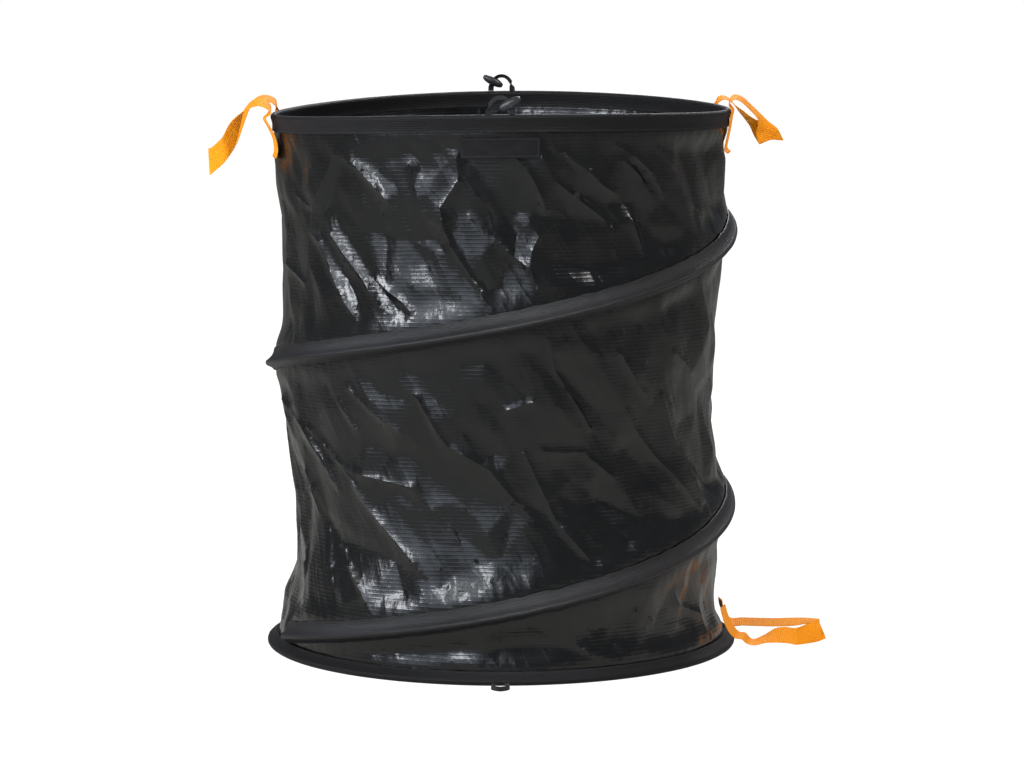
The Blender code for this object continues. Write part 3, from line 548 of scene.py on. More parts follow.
def lift_at(tree, spot):
    """Return a net's lift at a place."""
    hit = tree.ray_cast(Vector((spot.x, spot.y, 1.0)), Vector((0, 0, -1)))[0]
    if hit is None:
        hit = tree.find_nearest(Vector((spot.x, spot.y, 0.0)))[0]
    return hit.z


big_net = crease_net(BIG_CREASES, BIG_LIFT, BIG_STRETCH, fold_net())
small_net = crease_net(SMALL_CREASES, SMALL_LIFT, SMALL_STRETCH)
big_tree = net_tree(big_net)
small_tree = net_tree(small_net)


def net_segments(net):
    """Return a net's creases as short runs inside the cloth."""
    corners, _lifts, faces = net
    edges = set()
    for face in faces:
        for index in range(3):
            edges.add(tuple(sorted((face[index - 1], face[index]))))
    runs = []
    for first, second in sorted(edges):
        start, end = corners[first], corners[second]
        farther = max(abs(start.x), abs(end.x))
        if farther > GIRTH * 0.5 + SEAM_MARGIN and min(abs(start.x), abs(end.x)) > GIRTH * 0.5:
            continue
        pieces = max(1, round((end - start).length / CELL))
        runs.append([start.lerp(end, step / pieces) for step in range(pieces + 1)])
    return runs


def cloth_mesh(runs):
    """Return the points and triangles of the unrolled cloth, with an edge along each crease."""
    points, edges = [], []

    def add_run(run):
        first = len(points)
        points.extend(run)
        edges.extend((first + step, first + step + 1) for step in range(len(run) - 1))

    half = GIRTH / 2
    columns = round(GIRTH / CELL)
    rows = round(WALL_TALL / CELL)
    for level in (0.0, WALL_TALL):
        add_run([Vector((-half + GIRTH * step / columns, level)) for step in range(columns + 1)])
    for side in (-half, half):
        add_run([Vector((side, WALL_TALL * step / rows)) for step in range(rows + 1)])
    for run in runs:
        add_run(run)
    marks = KDTree(len(points))
    for index, spot in enumerate(points):
        marks.insert((spot.x, spot.y, 0), index)
    marks.balance()
    for row in range(1, rows):
        for column in range(columns):
            across = -half + GIRTH * (column + 0.25 + 0.5 * (row % 2)) / columns
            spot = Vector((across, WALL_TALL * row / rows))
            if marks.find((spot.x, spot.y, 0))[2] > CELL * 0.5:
                points.append(spot)
    made = delaunay_2d_cdt(points, edges, [], 0, MESH_TINY, False)
    limit = half + 1e-6
    inside = [abs(spot.x) <= limit and -1e-6 <= spot.y <= WALL_TALL + 1e-6 for spot in made[0]]
    faces = [face for face in made[2] if all(inside[corner] for corner in face)]
    return made[0], faces


flat_points, flat_faces = cloth_mesh(net_segments(big_net) + net_segments(small_net))


def ridge_marks():
    """Return a tree of the places along the ridges of the folds."""
    spots = []
    for fold in FOLDS:
        places = [on_cloth(across, down) for across, down, _depth in fold]
        for index in range(len(fold) - 1):
            if max(fold[index][2], fold[index + 1][2]) > RIDGE_DEPTH:
                continue
            pieces = max(1, round((places[index + 1] - places[index]).length / (CELL / 2)))
            spots.extend(places[index].lerp(places[index + 1], step / pieces) for step in range(pieces + 1))
    marks = KDTree(len(spots))
    for index, spot in enumerate(spots):
        marks.insert((spot.x, spot.y, 0), index)
    marks.balance()
    return marks


def cloth_lifts(points, faces, rounds):
    """Return how far the creases lift each point of the cloth, with the facets rounded into each other."""
    ridges = ridge_marks()
    lifts = [lift_at(big_tree, spot) + lift_at(small_tree, spot) for spot in points]
    beside = [set() for _spot in points]
    for face in faces:
        for index in range(3):
            beside[face[index]].add(face[index - 1])
            beside[face[index - 1]].add(face[index])
    for _round in range(rounds):
        lifts = [(lift + sum(lifts[other] for other in near) / len(near)) / 2 if near else lift
                 for lift, near in zip(lifts, beside)]
    for index, spot in enumerate(points):
        away = ridges.find((spot.x, spot.y, 0))[2]
        lifts[index] += RIDGE_PROUD * math.exp(-(away / RIDGE_WIDTH) ** 2)
    return lifts


def wall_point(spot, crease):
    """Return where a place on the unrolled film is on the bag, given the lift of its creases."""
    degrees = FRONT + math.degrees(spot.x / WALL_RADIUS)
    top = WALL_TOP + rim_lift(degrees)
    height = WALL_FOOT + spot.y / WALL_TALL * (top - WALL_FOOT)
    below, above = seam_span(degrees, height)
    edge = min(height - below, above - height) if above > below else 0.0
    loose = smooth(edge / LOOSE_REACH)
    lift = crease * loose
    angle = math.radians(degrees)
    sway = noise.noise(Vector((math.cos(angle) * 4.5, math.sin(angle) * 4.5, height * 9)))
    lift += sway * SWAY * loose
    pucker = math.sin(spot.x / PUCKER_PITCH + 2.4 * math.sin(spot.x / PUCKER_DRIFT))
    pucker *= math.exp(-max(edge, 0.0) / PUCKER_REACH)
    lift += pucker * PUCKER_DEPTH * smooth(edge / 0.004)
    return polar(tube_radius(degrees, height) - FILM_THICK + min(lift, LIFT_MOST), degrees, height)


def made_object(name, work):
    """Turn a bmesh into an object."""
    mesh = bpy.data.meshes.new(name)
    work.to_mesh(mesh)
    work.free()
    thing = bpy.data.objects.new(name, mesh)
    bpy.context.scene.collection.objects.link(thing)
    return thing


def coat(thing, finish, sharp=None):
    """Smooth an object but for its edges over an angle in degrees, and give it its finish."""
    thing.data.shade_smooth()
    if sharp:
        thing.data.set_sharp_from_angle(angle=math.radians(sharp))
    thing.data.materials.append(finish.material)
    return thing


def only(thing):
    """Select one object and nothing else."""
    bpy.ops.object.select_all(action="DESELECT")
    thing.select_set(True)
    bpy.context.view_layer.objects.active = thing


def dress(piece, node, body):
    """Hide the CAD node that a piece replaces and hang the piece on the body that it rides on."""
    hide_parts(node)
    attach(piece, body)


def flatten(piece):
    """Give a piece its own copy of its mesh."""
    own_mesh(piece)


def cloth_object(name, points, uvs, faces, thick, finish, sharp):
    """Make a closed sheet of a thickness from a mesh, with the cloth's own map."""
    work = bmesh.new()
    cloth = work.loops.layers.uv.new("cloth")
    verts = [work.verts.new(point) for point in points]
    for face in faces:
        made = work.faces.new([verts[corner] for corner in face])
        for loop, corner in zip(made.loops, face):
            loop[cloth].uv = tuple(uvs[corner])
    loose = [vert for vert in work.verts if not vert.link_faces]
    bmesh.ops.delete(work, geom=loose, context="VERTS")
    bmesh.ops.remove_doubles(work, verts=work.verts, dist=1e-5)
    thing = made_object(name, work)
    shell = thing.modifiers.new("thickness", "SOLIDIFY")
    shell.thickness = thick
    shell.offset = -1
    shell.use_even_offset = False
    only(thing)
    bpy.ops.object.modifier_apply(modifier=shell.name)
    return coat(thing, finish, sharp)


film = Finish("woven_film", roughness=0.24, specular_ior_level=0.55)
film_up = film.cloth("Y")
film_ribs = film_up.wave(FILM_RIB_PITCH) ** 4.0
film_threads = film.cloth("X").wave(FILM_THREAD_PITCH) ** 4.0
film_dents = film.mottle(46.0, 3.0)
film_map = film.node("UVMap", {"uv_map": "cloth"}, {})
film_runs = film.node("Mapping", {"vector_type": "TEXTURE"},
                      {"Vector": film_map, "Rotation": (0, 0, -CREASE_LEAN), "Scale": (5.0, 1.0, 1.0)})
film_fold = film.mottle(34.0, 2.0, film_runs)
film_ridges = (1.0 - film_fold.math("ABSOLUTE", film_fold * 2.0 - 1.0)) ** 4.0
film_cloud = film.mottle(7.0, 2.0)
film.paint(film_cloud, (0.0024, 0.0026, 0.0030), (0.0056, 0.0057, 0.0055))
film.put(roughness=film_cloud * 0.10 + 0.205)
film.relief(film_ribs * 0.085 + film_threads * 0.020 + film_dents * 0.9 + film_ridges * 0.42, 0.001)

flat_lifts = cloth_lifts(flat_points, flat_faces, ROUNDINGS)
wall_points = [wall_point(spot, lift) for spot, lift in zip(flat_points, flat_lifts)]
wall = cloth_object("film_wall", wall_points, flat_points, flat_faces, FILM_THICK, film, FILM_SHARP)
dress(wall, "bag_wall", "base")
flatten(wall)


# Bottom panel.
# A disc of the same film sewn into the base seam. It lies on the floor inside the bag, creased like the wall.
PANEL_RADIUS = 0.283
PANEL_FLAT = 0.240
PANEL_CELL = 0.012
PANEL_RIM_HEIGHT = 0.0125
PANEL_LEVEL = 0.0011
PANEL_SEAM_REACH = 0.04
PANEL_CREASE = 0.45


def panel_point(spot):
    """Return where a place on the flat disc is: low on the floor, and rising to its seam."""
    radius = spot.length
    rise = smooth((radius - PANEL_FLAT) / (PANEL_RADIUS - PANEL_FLAT)) * PANEL_RIM_HEIGHT
    lift = abs(lift_at(big_tree, Vector((spot.x, spot.y + WALL_TALL / 2)))) * PANEL_CREASE
    lift *= smooth((PANEL_RADIUS - radius) / PANEL_SEAM_REACH)
    return Vector((spot.x, spot.y, PANEL_LEVEL + rise + lift))


def make_panel():
    """Make the bottom panel on rings of points."""
    points = [Vector((0.0, 0.0))]
    rings = round(PANEL_RADIUS / PANEL_CELL)
    for ring in range(1, rings + 1):
        count = max(6, round(2 * math.pi * ring))
        radius = PANEL_RADIUS * ring / rings
        for step in range(count):
            angle = 2 * math.pi * (step + 0.5 * (ring % 2)) / count
            points.append(Vector((radius * math.cos(angle), radius * math.sin(angle))))
    made = delaunay_2d_cdt(points, [], [], 0, 1e-9, False)
    spots = [panel_point(spot) for spot in made[0]]
    return cloth_object("bottom_film", spots, made[0], made[2], FILM_THICK, film, FILM_SHARP)


panel = make_panel()
dress(panel, "bottom_panel", "base")


# Sleeves of the two hoops.
# Woven polyester tape folded over each hoop wire and sewn through to the film with black thread. The tape is
# a little slack between its stitches, so its edges wander.
TAPE = 0.0010
FOLD_INNER = 0.00312
HOOP_COLUMNS = 540
STITCH_PITCH = 0.0042
STITCH_LONG = 0.0030
STITCH_WIDE = 0.00065
FOLD_STEPS = 8
FOLD_TURN = 105
SECTION_WANDER = 30
HOOP_WANDER = 9
RIM_WAVER = 0.055
RIM_GAP = 0.0008
RIM_SEAM_SHARE = 0.45
BASE_WAVER = 0.02
BASE_GAP = 0.0014
BASE_SEAM_SHARE = 0.5
NEAR_LEG = (0, 1)
FAR_LEG = (14, 13)
TAPE_RIB_PITCH = 0.0013
TAPE_CORD_PITCH = 0.0021


def tape_finish(name, light, rough, shine):
    """Return the finish of black woven tape: fine cross ribs under a dull violet sheen."""
    tape = Finish(name, roughness=rough, sheen_weight=0.035, sheen_roughness=0.4, specular_ior_level=shine)
    tape.put(sheen_tint=(0.75, 0.72, 0.85))
    along = tape.cloth("X")
    across = tape.cloth("Y")
    ribs = (along + across * 0.35).wave(TAPE_RIB_PITCH)
    cords = across.wave(TAPE_CORD_PITCH)
    cloud = tape.mottle(38.0, 3.0)
    dark = tuple(part * 0.45 for part in light)
    tape.paint(ribs * 0.35 + cloud * 0.5, dark, light)
    tape.relief(ribs * 0.6 + cords * 0.5 + cloud * 1.2, 0.00035)
    return tape


tape = tape_finish("sleeve_tape", (0.0052, 0.0046, 0.0052), 0.60, 0.30)


def band_mesh(name, rings, closed, finish, lengths, girths, sharp=50):
    """Join rings of points into one closed band, mapped along and round it in metres."""
    work = bmesh.new()
    cloth = work.loops.layers.uv.new("cloth")
    rows = [[work.verts.new(point) for point in ring] for ring in rings]
    count = len(rows[0])
    last = len(rows) if closed else len(rows) - 1
    for index in range(last):
        ahead = (index + 1) % len(rows)
        for side in range(count):
            other = (side + 1) % count
            near, far = rows[index], rows[ahead]
            face = work.faces.new((near[side], near[other], far[other], far[side]))
            spots = ((index, side), (index, side + 1), (index + 1, side + 1), (index + 1, side))
            for loop, (run, turn) in zip(face.loops, spots):
                loop[cloth].uv = (lengths[run], girths[turn])
    if not closed:
        work.faces.new(list(reversed(rows[0])))
        work.faces.new(rows[-1])
    bmesh.ops.recalc_face_normals(work, faces=work.faces)
    return coat(made_object(name, work), finish, sharp)


def girth_marks(section):
    """Return how far along a closed section each of its points lies."""
    marks = [0.0]
    for index in range(len(section)):
        marks.append(marks[-1] + (section[(index + 1) % len(section)] - section[index]).length)
    return marks


def arc(turns, radius):
    """Return the points at some turns in degrees on a circle round the wire."""
    return [Vector((math.cos(math.radians(turn)), math.sin(math.radians(turn)))) * radius for turn in turns]


def folded_section(turned, long_leg, short_leg, gap):
    """Return the section of tape folded over a wire: its outer skin, then its inner one."""
    angle = math.radians(turned)
    back = Vector((-math.cos(angle), -math.sin(angle)))
    side = Vector((-math.sin(angle), math.cos(angle)))
    fold = [turned + step for step in range(-FOLD_TURN, FOLD_TURN + 1, 2 * FOLD_TURN // FOLD_STEPS)]
    outer = arc(fold, FOLD_INNER + TAPE)
    inner = arc(reversed(fold), FOLD_INNER)
    near = [back * long_leg * share - side * (gap + TAPE) for share in (1.0, 0.75, 0.5)]
    far = [back * short_leg * share + side * (gap + TAPE) for share in (0.5, 0.75, 1.0)]
    near_in = [back * long_leg * share - side * gap for share in (0.5, 0.75, 1.0)]
    far_in = [back * short_leg * share + side * gap for share in (1.0, 0.75, 0.5)]
    return near + outer + far + far_in + inner + near_in


def hoop_sleeve(body, radius, height_at, section, waver):
    """Turn a folded tape round its hoop."""
    rings = []
    for column in range(HOOP_COLUMNS):
        degrees = 360 * column / HOOP_COLUMNS
        angle = math.radians(degrees)
        place = Vector((math.cos(angle) * HOOP_WANDER, math.sin(angle) * HOOP_WANDER, radius * 40))
        ring = []
        for spot in section:
            off = spot.length * waver
            push = noise.noise(place + Vector((0, 0, spot.y * SECTION_WANDER))) * off
            drop = noise.noise(place * 2.2 + Vector((5, 0, 0))) * off
            ring.append(polar(radius + spot.x + push, degrees, height_at(degrees) + spot.y + drop * 0.5))
        rings.append(ring)
    lengths = [2 * math.pi * radius * column / HOOP_COLUMNS for column in range(HOOP_COLUMNS + 1)]
    sleeve = band_mesh(body + "_tape", rings, True, tape, lengths, girth_marks(section))
    dress(sleeve, body + "_sleeve", body)
    return sleeve, rings


def seam_row(rings, closed, leg, share, facing):
    """Return the stitches of a row along a leg of a band, each with its place, run and outward way."""
    first, second = leg
    path = [ring[first].lerp(ring[second], share) for ring in rings]
    if closed:
        path.append(path[0])
    row = []
    passed = 0.0
    goal = STITCH_PITCH / 2
    for index in range(len(path) - 1):
        step = path[index + 1] - path[index]
        out = step.cross(rings[index][second] - rings[index][first]).normalized()
        if out.dot(Vector((path[index].x, path[index].y, 0))) * facing < 0:
            out = -out
        while goal <= passed + step.length:
            row.append((path[index] + step * ((goal - passed) / step.length), step.normalized(), out))
            goal += STITCH_PITCH
        passed += step.length
    return row


def stitches(name, rows, body):
    """Make rows of stitches that ride on a body, each a short run of thread that dives in at its two ends."""
    work = bmesh.new()
    for middle, run, out in [stitch for row in rows for stitch in row]:
        side = run.cross(out).normalized()
        rings = []
        for reach in (-0.25, 0.25):
            centre = middle + run * STITCH_LONG * reach + out * STITCH_WIDE * 0.1
            spread = ((side, 1), (out, 1), (side, -1), (out, -1))
            rings.append([work.verts.new(centre + way * sign * STITCH_WIDE / 2) for way, sign in spread])
        ends = [work.verts.new(middle + run * STITCH_LONG * reach - out * STITCH_WIDE * 0.5)
                for reach in (-0.5, 0.5)]
        for index in range(4):
            other = (index + 1) % 4
            work.faces.new((rings[0][index], rings[0][other], rings[1][other], rings[1][index]))
            work.faces.new((ends[0], rings[0][other], rings[0][index]))
            work.faces.new((ends[1], rings[1][index], rings[1][other]))
    bmesh.ops.recalc_face_normals(work, faces=work.faces)
    thread_rows = coat(made_object(name, work), thread)
    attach(thread_rows, body)
    return thread_rows


thread = Finish("black_thread", roughness=0.42, specular_ior_level=0.5)
thread_cloud = thread.mottle(260.0, 1.0)
thread.paint(thread_cloud, (0.012, 0.012, 0.013), (0.035, 0.034, 0.037))

rim_section = folded_section(90, RIM_TAPE_DROP, RIM_TAPE_DROP * 0.96, RIM_GAP)
rim_sleeve, rim_rings = hoop_sleeve("rim", RIM_RADIUS, lambda degrees: RIM_WIRE + rim_lift(degrees),
                                    rim_section, RIM_WAVER)
rim_seams = [seam_row(rim_rings, True, NEAR_LEG, RIM_SEAM_SHARE, 1),
             seam_row(rim_rings, True, FAR_LEG, RIM_SEAM_SHARE, -1)]
stitches("rim_stitches", rim_seams, "rim")
base_section = folded_section(-45, BASE_FLANGE, BASE_FLANGE * 0.9, BASE_GAP)
base_sleeve, base_rings = hoop_sleeve("base", BASE_RADIUS, lambda degrees: BASE_WIRE,
                                      base_section, BASE_WAVER)
stitches("base_stitches", [seam_row(base_rings, True, FAR_LEG, BASE_SEAM_SHARE, 1)], "base")


# Spiral sleeve.
# The same tape laid over the spring wire on the outside of the wall and sewn down above and below it, so the
# wire pushes it out into a ridge from the top of the bag to its foot.
SPIRAL_COLUMNS_PER_TURN = 420
SPIRAL_WAVER = 0.07
SPIRAL_WANDER = 11
SPIRAL_CLEAR = 0.0008
SPIRAL_PUFF = 0.0012
SPIRAL_BULGE = (75, 50, 25, 0, -25, -50, -75)
UPPER_FLANGE = (0, 1)
UPPER_SEAM_SHARE = 0.35
LOWER_FLANGE = (11, 10)
LOWER_SEAM_SHARE = 0.3

# Painted light: the spiral's tape is the same tape as the sleeves', with its colour painted lighter for the
# light that falls on the upturned ridge.
spiral_tape_painted_lighter = tape_finish("spiral_sleeve_tape_painted_lighter", (0.0066, 0.0059, 0.0066), 0.46, 0.54)


def spiral_sleeve_mesh():
    """Make the ridge of tape along the spiral."""
    face = WALL_RADIUS + SPIRAL_CLEAR - SPIRAL_RADIUS
    outer = arc(SPIRAL_BULGE, FOLD_INNER + TAPE)
    inner = arc(reversed(SPIRAL_BULGE), FOLD_INNER)
    upper = [Vector((face + TAPE, SPIRAL_ABOVE)), Vector((face + TAPE + SPIRAL_PUFF, SPIRAL_ABOVE * 0.7)),
             Vector((face * 0.55 + TAPE, SPIRAL_ABOVE * 0.45))]
    lower = [Vector((face * 0.6 + TAPE, -SPIRAL_BELOW * 0.68)), Vector((face + TAPE, -SPIRAL_BELOW))]
    lower_in = [Vector((face, -SPIRAL_BELOW)), Vector((face * 0.6, -SPIRAL_BELOW * 0.68))]
    upper_in = [Vector((face * 0.55, SPIRAL_ABOVE * 0.45)), Vector((face + SPIRAL_PUFF, SPIRAL_ABOVE * 0.7)),
                Vector((face, SPIRAL_ABOVE))]
    section = upper + outer + lower + lower_in + inner + upper_in
    columns = round((SPIRAL_END - SPIRAL_START) / 360 * SPIRAL_COLUMNS_PER_TURN)
    rings, lengths = [], []
    for column in range(columns + 1):
        degrees = SPIRAL_START + (SPIRAL_END - SPIRAL_START) * column / columns
        height = spiral_height(degrees)
        angle = math.radians(degrees)
        place = Vector((math.cos(angle) * SPIRAL_WANDER, math.sin(angle) * SPIRAL_WANDER, height * 20))
        ring = []
        for spot in section:
            off = spot.length * SPIRAL_WAVER
            push = noise.noise(place + Vector((0, 0, spot.y * SECTION_WANDER))) * off
            drop = noise.noise(place * 1.9 + Vector((3, 0, 0))) * off
            ring.append(polar(SPIRAL_RADIUS + spot.x + push * 0.6, degrees, height + spot.y + drop))
        rings.append(ring)
        lengths.append(SPIRAL_RADIUS * angle)
    return band_mesh("spiral_tape", rings, False, spiral_tape_painted_lighter, lengths, girth_marks(section)), rings


spiral_sleeve, spiral_rings = spiral_sleeve_mesh()
dress(spiral_sleeve, "spiral_sleeve", "base")
flatten(spiral_sleeve)
spiral_seams = [seam_row(spiral_rings, False, UPPER_FLANGE, UPPER_SEAM_SHARE, 1),
                seam_row(spiral_rings, False, LOWER_FLANGE, LOWER_SEAM_SHARE, 1)]
flatten(stitches("spiral_stitches", spiral_seams, "base"))


# Spring wires.
# Round spring steel in the sleeves: two hoops, each closed by a crimped ferrule, and the spiral with a tip on
# each end. Only the spiral bends when the bag is pressed flat; it is made here as a mesh of its own.
WIRE_RADIUS = 0.0015
WIRE_SIDES = 10
SPIRAL_WIRE_COLUMNS = 260

steel = Finish("spring_steel", metallic=1.0, roughness=0.32)
steel_cloud = steel.mottle(90.0, 3.0)
steel.paint(steel_cloud, (0.30, 0.30, 0.31), (0.52, 0.51, 0.50))
steel.put(roughness=steel_cloud * 0.2 + 0.22)
for node in ("rim_hoop_wire", "rim_hoop_ferrule", "base_hoop_wire", "base_hoop_ferrule", "spiral_bottom_tip",
             "spiral_top_tip"):
    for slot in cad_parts[node].material_slots:
        slot.material = steel.material


def spiral_wire_mesh():
    """Make the round spring wire along the spiral."""
    sides = [2 * math.pi * side / WIRE_SIDES for side in range(WIRE_SIDES)]
    rings, lengths = [], []
    for column in range(SPIRAL_WIRE_COLUMNS + 1):
        degrees = SPIRAL_START + 1 + (SPIRAL_END - SPIRAL_START - 2) * column / SPIRAL_WIRE_COLUMNS
        height = spiral_height(degrees)
        rings.append([polar(SPIRAL_RADIUS + WIRE_RADIUS * math.cos(side), degrees,
                            height + WIRE_RADIUS * math.sin(side)) for side in sides])
        lengths.append(SPIRAL_RADIUS * math.radians(degrees))
    girths = [WIRE_RADIUS * side for side in sides] + [2 * math.pi * WIRE_RADIUS]
    return band_mesh("spiral_spring_wire", rings, False, steel, lengths, girths)


spiral_wire = spiral_wire_mesh()
dress(spiral_wire, "spiral_wire", "base")
flatten(spiral_wire)


# Handles.
# Three loops of orange polypropylene webbing. The two ends of each are sewn flat to the outside of the bag,
# and the loop between them hangs free, folded and twisted as it came out of its packing.
WEBBING_WIDTH = 0.025
WEBBING_THICK = 0.0013
PHOTO_METRE = 0.00125
WEBBING_STATION = 0.0026
WEBBING_COLUMNS = 8
WEBBING_RIB_PITCH = 0.0024
WEBBING_CORD_PITCH = 0.0021
FRAY = 0.0009
TIP_SHARE = 0.47
TIP_REACH = 0.07
SPLINE_STEPS = 2000
SPLINE_STEP = 0.0012

webbing = Finish("orange_webbing", roughness=0.62, sheen_weight=0.05, sheen_roughness=0.45)
webbing.put(sheen_tint=(1.0, 0.70, 0.25), specular_ior_level=0.18)
web_along = webbing.cloth("Y")
web_across = webbing.cloth("X")
web_ribs = (web_along + web_across.wave(WEBBING_CORD_PITCH * 2) * 0.0006).wave(WEBBING_RIB_PITCH)
web_cords = web_across.wave(WEBBING_CORD_PITCH)
web_weave_and_groove_shade = web_ribs * 0.65 + web_cords * 0.35
web_cloud = webbing.mottle(55.0, 3.0)
# Painted shade: the webbing's colour is darker in the grooves of its weave and lighter on its ribs; the cloud
# adds a random tone on top.
webbing.paint(web_weave_and_groove_shade * 0.7 + web_cloud * 0.3, (0.66, 0.165, 0.0012), (0.95, 0.355, 0.004))
webbing.relief(web_weave_and_groove_shade, 0.0006)


def photo_row(across, down, depth, half_across, half_down, turn):
    """Return a place on a strap and the reach to its edge, from where both show in the photograph."""
    half = WEBBING_WIDTH / 2
    seen_half = Vector((half_across, 0, -half_down)) * PHOTO_METRE
    hidden = math.sqrt(max(half * half - seen_half.length_squared, 0.0)) * turn
    return seen_at(across, down, depth), seen_half + Vector((0, hidden, 0))


def sewn_row(degrees, radius, height, turn):
    """Return a place on a strap that lies flat on the bag at an azimuth, and the reach to its edge."""
    angle = math.radians(degrees)
    edge = Vector((-math.sin(angle), math.cos(angle), 0)) * WEBBING_WIDTH / 2 * turn
    return polar(radius, degrees, height), edge


def spline(points, share):
    """Return a point on a smooth curve through a list of points."""
    span = share * (len(points) - 1)
    index = min(int(span), len(points) - 2)
    local = span - index
    before = points[max(index - 1, 0)]
    start = points[index]
    end = points[index + 1]
    after = points[min(index + 2, len(points) - 1)]
    bend = before * 2 - start * 5 + end * 4 - after
    twist = start * 3 - before - end * 3 + after
    return (start * 2 + (end - before) * local + bend * local ** 2 + twist * local ** 3) / 2


def strap_mesh(name, rows, wide, thick, columns, station, finish, tip_fold=0.0, fray=0.0):
    """Make a strap through rows of places and edges, a closed band, and return it with its length."""
    places = [row[0] for row in rows]
    edges = [row[1] for row in rows]
    fine = [spline(places, step / SPLINE_STEPS) for step in range(SPLINE_STEPS + 1)]
    marks = [0.0]
    for index in range(SPLINE_STEPS):
        marks.append(marks[-1] + (fine[index + 1] - fine[index]).length)
    total = marks[-1]
    count = max(4, round(total / station))
    rings, lengths = [], []
    at = 0
    for step in range(count + 1):
        goal = total * step / count
        while at < SPLINE_STEPS and marks[at + 1] < goal:
            at += 1
        within = (goal - marks[at]) / max(marks[min(at + 1, SPLINE_STEPS)] - marks[at], 1e-9)
        share = min((at + within) / SPLINE_STEPS, 1.0)
        spot = spline(places, share)
        ahead = spline(places, min(share + SPLINE_STEP, 1))
        run = (ahead - spline(places, max(share - SPLINE_STEP, 0))).normalized()
        edge = spline(edges, share)
        normal = run.cross(edge).normalized()
        fold = tip_fold * math.exp(-((share - TIP_SHARE) / TIP_REACH) ** 2)
        upper, lower = [], []
        for column in range(columns + 1):
            side = 2 * column / columns - 1
            ragged = run * fray * math.sin(column * 2.3) * (step in (0, count))
            middle = spot + edge * side + normal * fold * (1 - abs(side)) + ragged
            swell = thick / 2 * (0.55 if column in (0, columns) else 1.0)
            upper.append(middle + normal * swell)
            lower.append(middle - normal * swell)
        rings.append(upper + list(reversed(lower)))
        lengths.append(goal)
    girths = [wide * column / columns for column in range(columns + 1)]
    girths += [wide - mark for mark in girths] + [0.0]
    thing = band_mesh(name, rings, False, finish, lengths, girths, 60)
    cloth = thing.data.uv_layers["cloth"].data
    for item in cloth:
        item.uv = (item.uv[1], item.uv[0])
    return thing, total


# Each handle's strap, from its rear tail round its loop to the end of its front tail. The rear tail is given
# by azimuth, radius, height and side. The rest is given by the place across and down the photograph, the
# depth along Y, the reach to the edge across and up in the photograph, and the side that the edge turns to.
LEFT_TAIL = (
    (165.6, 0.2815, 0.600, -1), (165.6, 0.2830, 0.618, -1), (165.6, 0.2860, 0.640, -1),
    (165.6, 0.2900, 0.658, -1),
)
LEFT_LOOP = (
    (276, 103.5, 0.069, 0, 2.0, -1), (271, 99.4, 0.066, 0, 2.4, -1), (264, 97.6, 0.060, 0, 2.2, -1),
    (257, 99.2, 0.050, 0, 1.8, -1), (251, 104.5, 0.040, 0.5, 1.5, -1), (245.5, 113, 0.030, 2.0, 2.0, -1),
    (240, 124, 0.020, 3.0, 3.6, -1), (232, 138.5, 0.012, 4.4, 6.2, -1),
    (222.5, 150.5, 0.005, 3.2, 10.0, -1), (213.5, 159.0, 0.0015, 0.9, 12.2, -1),
    (209.3, 161.8, 0.0, 0.6, 13.2, 1), (213.0, 159.5, -0.0025, 0.9, 12.2, 1),
    (221.5, 151.8, -0.007, 3.2, 10.2, 1), (227.5, 143.6, -0.014, 4.6, 6.6, 1),
    (233.5, 130, -0.024, 3.8, 5.8, 1), (238.5, 119.0, -0.033, 2.0, 2.4, 1),
    (244, 110.6, -0.042, 0, -0.4, 1), (250.5, 104.8, -0.050, 0, -2.8, 1), (258, 102.0, -0.058, 0, -3.4, 1),
    (265, 103.8, -0.065, 0, -3.4, 1), (270.6, 108.6, -0.069, -0.4, -2.8, 1),
    (269.0, 113.8, -0.0705, -1.6, -0.6, 1), (264.4, 118.2, -0.0705, -2.0, 0.4, 1),
    (268.6, 126.5, -0.0700, -2.1, 0.2, 1), (274.3, 138.5, -0.0694, -2.3, 0, 1),
    (276.0, 150, -0.0690, -2.4, 0, 1), (274.4, 157.0, -0.0690, -2.4, -0.6, 1),
)
RIGHT_TAIL = (
    (20.4, 0.2815, 0.604, 1), (20.4, 0.2830, 0.622, 1), (20.4, 0.2860, 0.644, 1), (20.4, 0.2895, 0.664, 1),
)
RIGHT_LOOP = (
    (716.6, 103.4, 0.098, 0, -2.0, 1), (718.3, 99.6, 0.095, 0, -2.4, 1), (723.4, 97.4, 0.088, 0, -1.6, 1),
    (729.0, 99.4, 0.076, 0, -1.2, 1), (734.0, 104.2, 0.062, -0.6, -0.8, 1),
    (741.0, 111.0, 0.046, -1.4, 1.0, 1), (748.0, 118.0, 0.034, -2.4, 1.6, 1),
    (755.0, 124.0, 0.026, -4.5, 2.6, 1), (762.5, 131.0, 0.022, -8.5, 4.2, 1),
    (769.8, 140.0, 0.019, -11.6, 2.6, 1), (771.4, 142.2, 0.017, -12.2, 2.0, -1),
    (770.0, 139.5, 0.0145, -11.8, 2.8, -1), (766.5, 130.0, 0.012, -10.5, 2.0, -1),
    (763.2, 122.8, 0.008, -5.4, 1.4, -1), (758.6, 115.6, 0.003, -2.0, 1.8, -1),
    (750.5, 107.2, -0.008, -1.5, 1.8, -1), (742.5, 99.8, -0.020, -1.0, 2.1, -1),
    (735.5, 97.0, -0.030, -0.2, 2.0, -1), (730.6, 99.6, -0.038, -0.4, 1.6, -1),
    (729.4, 104.6, -0.0405, -1.0, 0.8, -1), (733.0, 109.6, -0.0410, -1.7, 0.2, -1),
    (731.6, 116.5, -0.0411, -1.8, 0, -1), (729.6, 129.0, -0.0411, -1.8, 0, -1),
    (726.6, 143.0, -0.0411, -1.8, 0.2, -1), (725.9, 149.0, -0.0411, -2.0, 0.6, -1),
    (729.2, 152.2, -0.0411, -2.0, 0.8, -1),
)
BASE_TAIL = (
    (8.2, 0.2815, 0.044, 1), (8.2, 0.2830, 0.034, 1), (8.4, 0.2885, 0.024, 1),
)
